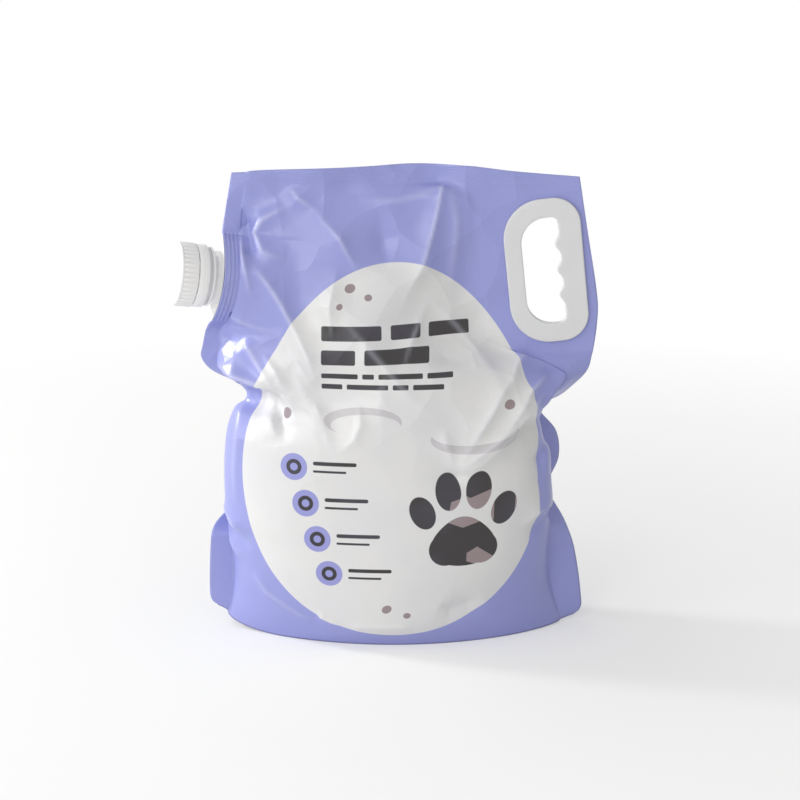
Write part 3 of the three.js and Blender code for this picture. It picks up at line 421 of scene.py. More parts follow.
def settled(columns, rows):
    """How the slack film buckles, by a cloth simulation of the folded form: a grid of moves a side."""
    s = np.linspace(-1, 1, columns)[:, None]
    v = np.linspace(0, 1, rows)[None, :]
    sheets = [folded_film(s, v, face)[0] for face in (-1, 1)]
    count = columns * rows
    index = np.arange(count).reshape(columns, rows)
    quads = []
    for base, flip in ((0, False), (count, True)):
        a, b = index[:-1, :-1] + base, index[1:, :-1] + base
        c, d = index[1:, 1:] + base, index[:-1, 1:] + base
        quads.append(np.stack([b, a, d, c] if flip else [a, b, c, d], -1).reshape(-1, 4))
    mesh = bpy.data.meshes.new("settling_film")
    start = np.concatenate([sheet.reshape(-1, 3) for sheet in sheets]) * MM
    mesh.from_pydata(start.tolist(), [], np.concatenate(quads).tolist())
    cloth = bpy.data.objects.new("settling_film", mesh)
    scene.collection.objects.link(cloth)

    # held hard at every seal, held softly by the litter, and free where the film is slack
    z = start[:, 2].reshape(2, columns, rows) / MM
    across = np.broadcast_to(np.abs(s), (columns, rows))
    slack = smooth((z - 120) / 70) * smooth((SEAL_LEVEL - 4 - z) / 20)
    hold = 0.75 - 0.55 * slack
    fixed = (across > body_share(s, z[0]) - 0.03) | (z[0] > SEAL_LEVEL - 4) | (z[0] < 6)
    near_shoulder = smooth((across / body_share(s, z[0]) - 0.5) / 0.45) * (s > 0) * (z[0] > 200)
    hold = np.where(fixed[None], 1.0, hold + (1 - hold) * near_shoulder).reshape(-1)
    spare = np.where(fixed[None], 0.0, (0.25 + 0.75 * slack) * (1 - near_shoulder)).reshape(-1)
    holding = cloth.vertex_groups.new(name="holding")
    growing = cloth.vertex_groups.new(name="growing")
    for i in range(2 * count):
        holding.add([i], float(hold[i]), "REPLACE")
        growing.add([i], float(spare[i]), "REPLACE")
    modifier = cloth.modifiers.new("Cloth", "CLOTH")
    settings = modifier.settings
    settings.quality = 6
    settings.mass = 0.08
    settings.air_damping = 4
    settings.tension_stiffness = 40
    settings.compression_stiffness = 40
    settings.shear_stiffness = 20
    settings.bending_stiffness = 0.6
    settings.vertex_group_mass = "holding"
    settings.pin_stiffness = 0.35
    settings.vertex_group_shrink = "growing"
    settings.shrink_min = 0.0
    settings.shrink_max = -0.02
    settings.effector_weights.gravity = 0
    modifier.collision_settings.use_collision = False
    modifier.point_cache.frame_start = 1
    modifier.point_cache.frame_end = SETTLE_FRAMES
    for number in range(1, SETTLE_FRAMES + 1):
        scene.frame_set(number)
    done = cloth.evaluated_get(bpy.context.evaluated_depsgraph_get())
    flat = np.empty(len(done.data.vertices) * 3)
    done.data.vertices.foreach_get("co", flat)
    moved = (flat.reshape(-1, 3) - start) / MM
    length = np.linalg.norm(moved, axis=1, keepdims=True)
    moved *= np.minimum(1, SETTLE_CAP / np.maximum(length, 1e-9))
    scene.frame_set(1)
    bpy.data.objects.remove(cloth)
    bpy.data.meshes.remove(mesh)
    return moved.reshape(2, columns, rows, 3)


SETTLE_FRAMES = 14
SETTLE_CAP = 5.0
SETTLE_COLUMNS = 90
SETTLE_ROWS = 104
moves = settled(SETTLE_COLUMNS, SETTLE_ROWS)


def spread(grid, s, v):
    """A coarse grid of moves, read smoothly on a finer one."""
    def resample(values, at):
        last = len(values) - 1
        where = np.clip(at * last, 0, last)
        k = np.clip(where.astype(int), 0, last - 1)
        t = (where - k).reshape((-1,) + (1,) * (values.ndim - 1))
        p0, p1 = values[np.maximum(k - 1, 0)], values[k]
        p2, p3 = values[k + 1], values[np.minimum(k + 2, last)]
        bend = 2 * p0 - 5 * p1 + 4 * p2 - p3
        twist = 3 * (p1 - p2) + p3 - p0
        return p1 + 0.5 * t * (p2 - p0 + t * (bend + t * twist))

    wide = resample(grid, (s + 1) / 2)
    return np.swapaxes(resample(np.swapaxes(wide, 0, 1), v), 0, 1)


# The handle's opening, which the film's hole follows with room for the handle's collar.
HANDLE_CENTRE = (116.5, 295.25)
HANDLE_LEAN = math.radians(6.5)


def in_handle(x, z):
    """Front-view points in the handle's own plane: towards the film's edge, and up."""
    dx, dz = x - HANDLE_CENTRE[0], z - HANDLE_CENTRE[1]
    return (dx * math.cos(HANDLE_LEAN) + dz * math.sin(HANDLE_LEAN),
            -dx * math.sin(HANDLE_LEAN) + dz * math.cos(HANDLE_LEAN))


# The film's grid, its hole behind the handle's ring, measured across from the handle's middle, and
# the gusset: its steps from front to back, how high its fold rises towards the corners, how far
# from the middle it lies flat, and how far in from the front and the back it starts.
COLUMNS = 200
ROWS = 218
HOLE_CENTRE = -2
HOLE_HALF_WIDTH = 18
HOLE_HALF_HEIGHT = 44.5
GUSSET_STEPS = 22
GUSSET_RIDGE = 34
GUSSET_FLAT = 84
GUSSET_SKIRT = 1.4
FAR_FROM_SEALS = 60.0


def build_film():
    """The film as one closed mesh, with the print's places, the margins and the crests on it."""
    s = np.linspace(-1, 1, COLUMNS + 1)
    v = np.linspace(0, 1, ROWS + 1)
    sheets = []
    pattern = []
    margins = []
    crests = []
    for side, face in enumerate((-1, 1)):
        plain = film(s[:, None], v[None, :], face)
        folded, crest_line = folded_film(s[:, None], v[None, :], face)
        sheets.append(folded + spread(moves[side], s, v))
        crests.append(crest_line.ravel())
        middle_column = COLUMNS // 2
        across = np.cumsum(np.abs(np.diff(plain[..., 0], axis=0)), axis=0)
        unrolled = np.concatenate([np.zeros((1, ROWS + 1)), across])
        unrolled += plain[middle_column, :, 0] - unrolled[middle_column]
        which = np.full(plain.shape[:2], face)
        pattern.append(np.stack([unrolled, plain[..., 2], which], -1).reshape(-1, 3))
        steps = np.linalg.norm(np.diff(plain, axis=0), axis=-1)
        run = np.concatenate([np.zeros((1, ROWS + 1)), np.cumsum(steps, axis=0)])
        from_side = np.where(s[:, None] < 0, run, run - run[-1])
        from_top = np.broadcast_to((1 - v) * POUCH_HEIGHT, run.shape)
        from_base = np.broadcast_to(v * POUCH_HEIGHT, run.shape)
        margins.append(np.stack([from_side, from_top, from_base], -1).reshape(-1, 3))
    points = [sheet.reshape(-1, 3) for sheet in sheets]
    count = (COLUMNS + 1) * (ROWS + 1)
    front = np.arange(count).reshape(COLUMNS + 1, ROWS + 1)
    back = front + count
    faces = []

    def quad(a, b, c, d):
        faces.append((int(a), int(b), int(c), int(d)))

    # the film's hole behind the handle's ring
    middle = (sheets[0][:-1, :-1] + sheets[0][1:, 1:]) / 2
    hx, hz = in_handle(middle[..., 0], middle[..., 2])
    hole = (np.abs(hx - HOLE_CENTRE) < HOLE_HALF_WIDTH) & (np.abs(hz) < HOLE_HALF_HEIGHT)
    kept = ~hole
    for i in range(COLUMNS):
        for j in range(ROWS):
            if kept[i, j]:
                quad(front[i, j], front[i + 1, j], front[i + 1, j + 1], front[i, j + 1])
                quad(back[i + 1, j], back[i, j], back[i, j + 1], back[i + 1, j + 1])
                continue
            for di, dj, a, b in ((-1, 0, (0, 1), (0, 0)), (1, 0, (1, 0), (1, 1)),
                                 (0, -1, (0, 0), (1, 0)), (0, 1, (1, 1), (0, 1))):
                if kept[i + di, j + dj]:
                    a, b = (i + a[0], j + a[1]), (i + b[0], j + b[1])
                    quad(front[b], front[a], back[a], back[b])
    for i in range(COLUMNS):
        quad(front[i, ROWS], front[i + 1, ROWS], back[i + 1, ROWS], back[i, ROWS])

    # the gusset film between the two bottom edges: flat on the floor, folded up towards each corner
    extra = []
    extra_pattern = []

    def add(point, place):
        extra.append(point)
        extra_pattern.append(place)
        return 2 * count + len(extra) - 1

    under = []
    for i in range(COLUMNS + 1):
        x, front_y, z = sheets[0][i, 0]
        back_y = sheets[1][i, 0, 1]
        wall = min(GUSSET_SKIRT, (back_y - front_y) / 4)
        gap = back_y - front_y - 2 * GUSSET_SKIRT
        rise = max(0, (abs(x) - GUSSET_FLAT) / (EDGE - 21 - GUSSET_FLAT))
        ridge = GUSSET_RIDGE * min(1, rise) * float(smooth((gap - 8) / 26))
        row = [front[i, 0]]
        for k in range(GUSSET_STEPS - 1):
            w = k / (GUSSET_STEPS - 2)
            y = front_y + wall + w * (back_y - front_y - 2 * wall)
            lift = ridge * (1 - abs(2 * w - 1) ** 1.6)
            row.append(add((x, y, z + lift), (x, y, 0.0)))
        under.append(row + [back[i, 0]])
    for i in range(COLUMNS):
        for k in range(GUSSET_STEPS):
            quad(under[i][k], under[i][k + 1], under[i + 1][k + 1], under[i + 1][k])

    # the outer edges: the two layers meet, apart from the pocket round the spout's base
    z_edge = sheets[0][0, :, 2]
    on_boat = np.abs(z_edge - SPOUT_LEVEL) < BOAT_HALF_LENGTH - 1.5
    first, last = np.flatnonzero(on_boat)[[0, -1]]
    lining = {}
    for j in range(first, last + 1):
        pair = []
        for face in (-1, 1):
            deep = boat_surface(np.array(z_edge[j] - 2), -BOAT_DEPTH - 0.4, face, 0.15)
            pair.append(add(tuple(deep), (-EDGE, z_edge[j], 2.0)))
        lining[j] = pair
    for j in range(ROWS):
        quad(front[COLUMNS, j], back[COLUMNS, j], back[COLUMNS, j + 1], front[COLUMNS, j + 1])
        f0, f1, b0, b1 = front[0, j], front[0, j + 1], back[0, j], back[0, j + 1]
        if j in lining and j + 1 in lining:
            (lf0, lb0), (lf1, lb1) = lining[j], lining[j + 1]
            quad(f0, f1, lf1, lf0)
            quad(lf0, lf1, lb1, lb0)
            quad(lb0, lb1, b1, b0)
        else:
            quad(f0, f1, b1, b0)
    for j, flip in ((first, False), (last, True)):
        ring = [int(front[0, j]), lining[j][0], lining[j][1], int(back[0, j])]
        faces.append(tuple(reversed(ring)) if flip else tuple(ring))
    for i, flip in ((0, False), (COLUMNS, True)):
        ring = [int(c) for c in under[i]]
        faces.append(tuple(reversed(ring)) if flip else tuple(ring))

    mesh = bpy.data.meshes.new("film")
    every = np.concatenate(points + [np.array(extra)]) * MM
    mesh.from_pydata(every.tolist(), [], faces)
    places = np.concatenate(pattern + [np.array(extra_pattern)])
    borders = np.concatenate(margins + [np.full((len(extra), 3), FAR_FROM_SEALS)])
    for label, values in (("print_place", places), ("margins", borders)):
        layer = mesh.attributes.new(label, "FLOAT_VECTOR", "POINT")
        layer.data.foreach_set("vector", values.astype(np.float32).ravel())
    layer = mesh.attributes.new("crests", "FLOAT", "POINT")
    layer.data.foreach_set("value", np.concatenate(crests + [np.zeros(len(extra))]).astype(np.float32))
    mesh.shade_smooth()
    return mesh


pouch_mesh = build_film()
pouch = bpy.data.objects.new("pouch_film", pouch_mesh)
scene.collection.objects.link(pouch)


def feed(tree, socket, value):
    """Link or set one input of a node; None leaves it alone."""
    if isinstance(value, bpy.types.NodeSocket):
        tree.links.new(value, socket)
    elif value is not None:
        socket.default_value = value


def add_node(tree, kind, *inputs, **settings):
    """A new node with its settings, and its inputs linked or set in order."""
    made = tree.nodes.new(kind)
    for name, value in settings.items():
        setattr(made, name, value)
    for socket, value in zip(made.inputs, inputs):
        feed(tree, socket, value)
    return made


def compute(tree, operation, *inputs, clamp=False):
    """The result of one Math node."""
    return add_node(tree, "ShaderNodeMath", *inputs, operation=operation, use_clamp=clamp).outputs[0]


def new_group(name, inputs, outputs):
    """A shader group with named float inputs and outputs, with its two end nodes."""
    group = bpy.data.node_groups.new(name, "ShaderNodeTree")
    for label, value in inputs.items():
        kind = "NodeSocketVector" if isinstance(value, tuple) else "NodeSocketFloat"
        socket = group.interface.new_socket(label, in_out="INPUT", socket_type=kind)
        socket.default_value = value
    for label in outputs:
        group.interface.new_socket(label, in_out="OUTPUT", socket_type="NodeSocketFloat")
    return group, group.nodes.new("NodeGroupInput").outputs, group.nodes.new("NodeGroupOutput").inputs


def printed_oval_group():
    """A printed oval or egg: 1 inside its outline, with a soft dot-gain edge."""
    group, given, result = new_group(
        "printed_oval",
        {"Place": (0.0, 0.0, 0.0), "Centre X": 0.0, "Centre Z": 0.0, "Half Width": 10.0,
         "Half Height": 10.0, "Turn": 0.0, "Taper": 0.0},
        ["Mask"],
    )
    split = add_node(group, "ShaderNodeSeparateXYZ", given["Place"])
    dx = compute(group, "SUBTRACT", split.outputs[0], given["Centre X"])
    dz = compute(group, "SUBTRACT", split.outputs[1], given["Centre Z"])
    cos = compute(group, "COSINE", given["Turn"])
    sin = compute(group, "SINE", given["Turn"])
    x = compute(group, "ADD", compute(group, "MULTIPLY", dx, cos), compute(group, "MULTIPLY", dz, sin))
    z = compute(group, "SUBTRACT", compute(group, "MULTIPLY", dz, cos), compute(group, "MULTIPLY", dx, sin))
    high = compute(group, "DIVIDE", z, given["Half Height"])
    narrowing = compute(group, "SUBTRACT", 1.0, compute(group, "MULTIPLY", high, given["Taper"]))
    wide = compute(group, "DIVIDE", compute(group, "DIVIDE", x, given["Half Width"]), narrowing)
    radius = compute(group, "SQRT", compute(group, "ADD", compute(group, "MULTIPLY", wide, wide),
                                            compute(group, "MULTIPLY", high, high)))
    inside = compute(group, "MULTIPLY", compute(group, "SUBTRACT", 1.0, radius), given["Half Width"])
    mask = compute(group, "MULTIPLY_ADD", inside, 2.5, 0.5, clamp=True)
    group.links.new(mask, result["Mask"])
    return group


def printed_bar_group():
    """A printed bar with round ends: 1 inside its outline."""
    group, given, result = new_group(
        "printed_bar",
        {"Place": (0.0, 0.0, 0.0), "Centre X": 0.0, "Centre Z": 0.0, "Half Length": 10.0,
         "Half Height": 2.0, "Roundness": 2.0},
        ["Mask"],
    )
    split = add_node(group, "ShaderNodeSeparateXYZ", given["Place"])
    sides = []
    for axis, centre, half in ((0, "Centre X", "Half Length"), (1, "Centre Z", "Half Height")):
        away = compute(group, "ABSOLUTE", compute(group, "SUBTRACT", split.outputs[axis], given[centre]))
        core = compute(group, "SUBTRACT", given[half], given["Roundness"])
        sides.append(compute(group, "MAXIMUM", compute(group, "SUBTRACT", away, core), 0.0))
    corner = compute(group, "SQRT", compute(group, "ADD", compute(group, "MULTIPLY", sides[0], sides[0]),
                                            compute(group, "MULTIPLY", sides[1], sides[1])))
    inside = compute(group, "SUBTRACT", given["Roundness"], corner)
    mask = compute(group, "MULTIPLY_ADD", inside, 2.5, 0.5, clamp=True)
    group.links.new(mask, result["Mask"])
    return group


def ink_between(tree, under, over, mask):
    """One colour laid over another by a mask."""
    made = add_node(tree, "ShaderNodeMix", data_type="RGBA")
    for number, value in ((0, mask), (6, under), (7, over)):
        feed(tree, made.inputs[number], value)
    return made.outputs[2]


def new_material(name):
    """A material with its node tree and its surface shader."""
    made = bpy.data.materials.new(name)
    made.use_nodes = True
    return made, made.node_tree, made.node_tree.nodes["Principled BSDF"]


def add_relief(tree, surface, height, strength, distance):
    """A bump on a surface, its distance in millimetres."""
    relief = add_node(tree, "ShaderNodeBump")
    relief.inputs["Strength"].default_value = strength
    relief.inputs["Distance"].default_value = distance * MM
    tree.links.new(height, relief.inputs["Height"])
    tree.links.new(relief.outputs[0], surface.inputs["Normal"])


printed_oval = printed_oval_group()
printed_bar = printed_bar_group()

LILAC = (0.300, 0.322, 0.660, 1)
OFF_WHITE = (0.735, 0.730, 0.722, 1)
CHARCOAL = (0.030, 0.026, 0.028, 1)
MAUVE = (0.300, 0.235, 0.240, 1)
PALE_GREY = (0.560, 0.540, 0.550, 1)
ICON_LILAC = (0.300, 0.310, 0.640, 1)

material, tree, shader = new_material("printed_film")
place = add_node(tree, "ShaderNodeAttribute", attribute_name="print_place").outputs["Vector"]
print_x, print_z, print_side = add_node(tree, "ShaderNodeSeparateXYZ", place).outputs
is_front = compute(tree, "LESS_THAN", print_side, -0.5)
is_back = compute(tree, "COMPARE", print_side, 1.0, 0.1)


def printed(group, place, **values):
    """The mask of one printed mark, with the group's inputs given as keywords."""
    made = add_node(tree, "ShaderNodeGroup", node_tree=group)
    tree.links.new(place, made.inputs["Place"])
    for name, value in values.items():
        made.inputs[name.replace("_", " ").title()].default_value = value
    return made.outputs["Mask"]


def oval(x, z, half_width, half_height, turn=0.0, taper=0.0, place=place):
    return printed(printed_oval, place, centre_x=x, centre_z=z, half_width=half_width,
                   half_height=half_height, turn=turn, taper=taper)


def bar(x, z, half_length, half_height, roundness=None, place=place):
    return printed(printed_bar, place, centre_x=x, centre_z=z, half_length=half_length,
                   half_height=half_height, roundness=roundness or half_height)


def nearest_mark(value, pitch, first, last):
    """The number of the nearest of the evenly spaced marks in a row."""
    number = compute(tree, "ROUND", compute(tree, "DIVIDE", value, pitch))
    return compute(tree, "MAXIMUM", compute(tree, "MINIMUM", number, last), first)


def flat_place(x, z):
    """A place on the print from its two parts."""
    return add_node(tree, "ShaderNodeCombineXYZ", x, z, None).outputs[0]


def together(masks, where=None):
    """Several masks as one, kept to one side of the pouch if that is given."""
    total = masks[0]
    for mask in masks[1:]:
        total = compute(tree, "MAXIMUM", total, mask)
    return compute(tree, "MULTIPLY", total, where) if where is not None else total


def ink(under, over, mask):
    """The film's colour with one more ink on it."""
    return ink_between(tree, under, over, mask)


colour = ink(LILAC, OFF_WHITE, together([oval(-3, 158, 117, 147, taper=0.14)], is_front))
# a paw print, filled with facets of charcoal
paw = together([
    oval(52, 92, 25, 20, taper=0.28), oval(38, 86, 13, 13), oval(66, 86, 13, 13),
    oval(20, 116, 9.5, 13.5, turn=0.45), oval(40, 132, 10, 15, turn=0.12),
    oval(64, 132, 10, 15, turn=-0.12), oval(84, 116, 9.5, 13.5, turn=-0.45),
], is_front)
chips = add_node(tree, "ShaderNodeTexVoronoi", place, None, 0.055, feature="F1", voronoi_dimensions="2D")
tone = add_node(tree, "ShaderNodeSeparateColor", chips.outputs["Color"])
charcoal_tone = ink(CHARCOAL, MAUVE, compute(tree, "GREATER_THAN", tone.outputs[0], 0.72))
colour = ink(colour, charcoal_tone, paw)
# a scatter of litter grains
GRAINS = [
    (-36, 286, 4.2, 3.4, 0.4), (-22, 279, 3.0, 2.6, 0.0), (-44, 272, 2.6, 2.2, 0.8),
    (86, 196, 4.0, 3.4, 0.2), (-86, 190, 4.2, 3.6, 0.5), (-8, 36, 4.2, 3.4, 0.7), (8, 30, 3.0, 2.6, 0.2),
]
colour = ink(colour, MAUVE, together([oval(*g[:4], turn=g[4]) for g in GRAINS], is_front))


def line_of_bars(level, lengths, half_height, gap, roundness):
    """Plain bars of the given lengths in a row."""
    made = []
    start = HEADLINE_LEFT
    for length in lengths:
        made.append(bar(start + length / 2, level, length / 2, half_height, roundness))
        start += length + gap
    return made


# plain bars where a pack carries its headline
HEADLINE_LEFT = -58
headline = line_of_bars(252, (46, 22, 32), 5.6, 7, 1.6) + line_of_bars(234, (26, 50), 5.6, 7, 1.6)
subline = line_of_bars(220, (28, 9, 34, 20), 1.9, 3.5, 0.9)
subline += line_of_bars(212, (16, 32, 12, 24), 1.9, 3.5, 0.9)
colour = ink(colour, CHARCOAL, together(headline + subline, is_front))

# a column of lilac discs with a plain ring in each, and two short bars beside each
DISC_LEFT = -80.0
DISC_TOP = 150.0
DISC_PITCH = 28.0
DISC_SHIFT = 9.0
disc_row = nearest_mark(compute(tree, "SUBTRACT", DISC_TOP, print_z), DISC_PITCH, 0.0, 3.0)
disc_place = flat_place(
    compute(tree, "SUBTRACT", print_x, compute(tree, "MULTIPLY_ADD", disc_row, DISC_SHIFT, DISC_LEFT)),
    compute(tree, "ADD", print_z, compute(tree, "MULTIPLY_ADD", disc_row, DISC_PITCH, -DISC_TOP)))
colour = ink(colour, ICON_LILAC, together([oval(0, 0, 10.5, 10.5, place=disc_place)], is_front))
ring_outer = oval(0, 0, 6, 6, place=disc_place)
ring_inner = oval(0, 0, 3, 3, place=disc_place)
ring = compute(tree, "SUBTRACT", ring_outer, ring_inner, clamp=True)
short_bars = [bar(32, 3.6, 17, 1.5, place=disc_place), bar(28, -2.6, 13, 0.9, place=disc_place)]
colour = ink(colour, CHARCOAL, together([ring] + short_bars, is_front))
# two pale arcs, each an oval with another cut out of it
colour = ink(colour, PALE_GREY, together([
    compute(tree, "SUBTRACT", oval(60, 172, 34, 12), oval(58, 176, 31, 9.5), clamp=True),
    compute(tree, "SUBTRACT", oval(-26, 186, 30, 11), oval(-24, 183, 27, 8.5), clamp=True),
], is_front))

# the back carries a plain panel with rows of short bars and a row of discs
LINES_TOP = 204.0
LINE_PITCH = 9.0
DOT_PITCH = 34.0
colour = ink(colour, OFF_WHITE, together([bar(0, 150, 88, 92, 26)], is_back))
line_row = nearest_mark(compute(tree, "SUBTRACT", LINES_TOP, print_z), LINE_PITCH, 0.0, 8.0)
uneven = compute(tree, "SINE", compute(tree, "MULTIPLY", line_row, 2.1))
line_place = flat_place(
    compute(tree, "ADD", print_x, compute(tree, "MULTIPLY", uneven, 6.0)),
    compute(tree, "ADD", print_z, compute(tree, "MULTIPLY_ADD", line_row, LINE_PITCH, -LINES_TOP)))
dot_column = nearest_mark(print_x, DOT_PITCH, -1.0, 1.0)
dot_place = flat_place(
    compute(tree, "SUBTRACT", print_x, compute(tree, "MULTIPLY", dot_column, DOT_PITCH)), print_z)
back_bars = [bar(-18, 222, 52, 3.4, 1.4), bar(-4, 0, 54, 1.2, place=line_place)]
colour = ink(colour, CHARCOAL, together(back_bars, is_back))
colour = ink(colour, ICON_LILAC, together([oval(0, 92, 12, 12, place=dot_place)], is_back))

# the weld under the film beside the spout, and the sealed bands, show as raised and dulled strips; a
# painted shade darkens the foot of the front film
margin = add_node(tree, "ShaderNodeAttribute", attribute_name="margins").outputs["Vector"]
margin_parts = add_node(tree, "ShaderNodeSeparateXYZ", margin)
from_side, from_top, from_base = margin_parts.outputs


def within(value, limit):
    """1 below a limit, with a soft edge of half a millimetre."""
    return compute(tree, "MULTIPLY", compute(tree, "SUBTRACT", limit, value), 2.0, clamp=True)


WELD_WIDTH = 13.5
WELD_PITCH = 3.3
KNURL_PITCH = 1.7
SIDE_SEAL = 11.0
WELD_LILAC = (0.50, 0.52, 0.82, 1)
# the colour of the painted shade at the foot of the front film
SHADE_LILAC = (0.16, 0.16, 0.38, 1)
HAZE_LILAC = (0.42, 0.42, 0.74, 1)
# the colour of the painted highlight along the film's crests
PAINTED_CREST_HIGHLIGHT = (0.86, 0.87, 0.97, 1)
from_spout = compute(tree, "ABSOLUTE", compute(tree, "SUBTRACT", print_z, SPOUT_LEVEL))
beside_spout = within(from_spout, BOAT_HALF_LENGTH + 0.5)
weld_zone = compute(tree, "MULTIPLY", beside_spout, within(from_side, WELD_WIDTH))
weld_zone = compute(tree, "MULTIPLY", weld_zone, compute(tree, "GREATER_THAN", from_side, 0.4))
weld_wave = compute(tree, "SINE", compute(tree, "MULTIPLY", from_side, 2 * math.pi / WELD_PITCH))
weld = compute(tree, "MULTIPLY", weld_wave, weld_zone)
seal_zone = within(from_top, TOP_SEAL)
knurl = compute(tree, "SINE", compute(tree, "MULTIPLY", print_z, 2 * math.pi / KNURL_PITCH))
side_seal = within(compute(tree, "ABSOLUTE", from_side), SIDE_SEAL)
# a painted shade along the front film's bottom edge, where it meets the floor
painted_foot_shade = compute(tree, "MULTIPLY", within(from_base, 1.6), is_front)
colour = ink(colour, SHADE_LILAC, compute(tree, "MULTIPLY", painted_foot_shade, 0.7))
colour = ink(colour, WELD_LILAC, compute(tree, "MULTIPLY", weld, 0.3, clamp=True))
spot = add_node(tree, "ShaderNodeTexCoord").outputs["Object"]
cloudy = add_node(tree, "ShaderNodeTexNoise", spot, None, 18.0, 3.0, 0.5)
haze = compute(tree, "MULTIPLY", compute(tree, "SUBTRACT", cloudy.outputs[0], 0.45), 0.25, clamp=True)
colour = ink(colour, HAZE_LILAC, haze)
# a painted highlight pales the film along each sharp crest
crests = add_node(tree, "ShaderNodeAttribute", attribute_name="crests").outputs["Fac"]
colour = ink(colour, PAINTED_CREST_HIGHLIGHT, compute(tree, "MULTIPLY", crests, 0.34))
tree.links.new(colour, shader.inputs["Base Color"])
speckle = add_node(tree, "ShaderNodeTexNoise", spot, None, 900.0, 4.0, 0.6)
gloss = add_node(tree, "ShaderNodeMapRange", speckle.outputs[0], 0.3, 0.7, 0.30, 0.37)
dull = compute(tree, "MULTIPLY_ADD", together([seal_zone, side_seal]), 0.06, gloss.outputs[0])
tree.links.new(dull, shader.inputs["Roughness"])
shader.inputs["Coat Weight"].default_value = 0.10
shader.inputs["Coat Roughness"].default_value = 0.16
# the relief, in millimetres: the weld's ribs, the seal's knurl, a fine pebble and the crests
knurled = compute(tree, "MULTIPLY", compute(tree, "MULTIPLY", knurl, seal_zone), 0.07)
height = compute(tree, "MULTIPLY_ADD", weld, 0.16, knurled)
pebble = add_node(tree, "ShaderNodeTexNoise", spot, None, 200.0, 3.0, 0.55)
height = compute(tree, "MULTIPLY_ADD", pebble.outputs[0], 0.2, height)
height = compute(tree, "MULTIPLY_ADD", speckle.outputs[0], 0.03, height)
height = compute(tree, "MULTIPLY_ADD", crests, 0.5, height)
# the slack film above the litter is crumpled into small facets, the tight film below hardly at all
bend = add_node(tree, "ShaderNodeTexNoise", spot, None, 14.0, 2.0, 0.5)
bent = add_node(tree, "ShaderNodeVectorMath", bend.outputs["Color"], (0.035, 0.035, 0.035), spot,
                operation="MULTIPLY_ADD")
crumples = add_node(tree, "ShaderNodeTexVoronoi", bent.outputs[0], None, 24.0)
slack_film = add_node(tree, "ShaderNodeMapRange", print_z, 110.0, 230.0, 1.2, 7.5)
height = compute(tree, "MULTIPLY_ADD", crumples.outputs["Distance"], slack_film.outputs[0], height)
add_relief(tree, shader, height, 0.6, 1)
pouch_mesh.materials.append(material)
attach(pouch, "pack")
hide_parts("pouch")


# Spout. A milky polyethylene moulding: a ribbed boat-shaped base welded between the two films, and
# a round neck with a flange, a bead that traps the tamper band, and a two-start thread.
NECK_RADIUS = 20.4
NECK_BORE_RADIUS = 18
FLANGE_RADIUS = 23
MOUTH = 30.5
THREAD_LEAD = 9
spout_turn = Matrix((ALONG_EDGE, ACROSS, SPOUT_AXIS)).transposed().to_4x4()
spout_frame = Matrix.Translation(Vector(SPOUT_ORIGIN) * MM) @ spout_turn @ Matrix.Scale(MM, 4)


def finished(name, points, faces, frame_matrix, sharp=35):
    """A mesh object from points in millimetres of a local frame, with its true edges left crisp."""
    mesh = bpy.data.meshes.new(name)
    mesh.from_pydata([tuple(p) for p in points], [], faces)
    mesh.transform(frame_matrix)
    work = bmesh.new()
    work.from_mesh(mesh)
    bmesh.ops.remove_doubles(work, verts=work.verts, dist=1e-7)
    bmesh.ops.recalc_face_normals(work, faces=work.faces)
    for edge in work.edges:
        edge.smooth = edge.calc_face_angle(0) < math.radians(sharp)
    for face in work.faces:
        face.smooth = True
    work.to_mesh(mesh)
    work.free()
    made = bpy.data.objects.new(name, mesh)
    scene.collection.objects.link(made)
    return made


def rings(loops, closed=True):
    """Points and quads through loops of the same count; closed joins the last to the first."""
    count = len(loops[0])
    points = [point for loop in loops for point in loop]
    faces = []
    for level in range(len(loops) if closed else len(loops) - 1):
        low = level * count
        high = ((level + 1) % len(loops)) * count
        for i in range(count):
            j = (i + 1) % count
            faces.append((low + i, low + j, high + j, high + i))
    return points, faces


def circle(radius, height, count=128):
    """A loop of points round the axis."""
    turns = [2 * math.pi * i / count for i in range(count)]
    return [(radius * math.cos(a), radius * math.sin(a), height) for a in turns]


def joined(*parts):
    """Several bodies' points and faces as one."""
    points, faces = [], []
    for more_points, more_faces in parts:
        base = len(points)
        points += more_points
        faces += [tuple(base + k for k in face) for face in more_faces]
    return points, faces


def boat_loop(shrink, height, count=128):
    """The boat's outline, one point for each direction from its middle."""
    loop = []
    for i in range(count):
        angle = 2 * math.pi * i / count
        cos, sin = math.cos(angle), math.sin(angle)
        low, high = 0.0, BOAT_HALF_LENGTH * 1.2
        for _ in range(30):
            reach = (low + high) / 2
            along = reach * cos / BOAT_HALF_LENGTH
            edge = BOAT_TIP + (BOAT_HALF_THICKNESS - BOAT_TIP) * (1 - along * along)
            if abs(along) > 1 or reach * abs(sin) > edge:
                high = reach
            else:
                low = reach
        loop.append(((low - shrink) * cos, (low - shrink) * sin, height))
    return loop


BOAT_BANDS = 9
BOAT_RIB = 0.7


def boat():
    """The welded base, with every other of its bands standing back as a groove."""
    loops = [circle(NECK_BORE_RADIUS, -BOAT_DEPTH)]
    pitch = BOAT_DEPTH / BOAT_BANDS
    for band in range(BOAT_BANDS):
        shrink = BOAT_RIB * (band % 2)
        low = -BOAT_DEPTH + band * pitch
        loops += [boat_loop(shrink + 0.15, low), boat_loop(shrink, low + 0.2),
                  boat_loop(shrink, low + pitch - 0.2), boat_loop(shrink + 0.15, low + pitch)]
    loops.append(circle(NECK_BORE_RADIUS, 0))
    return rings(loops)


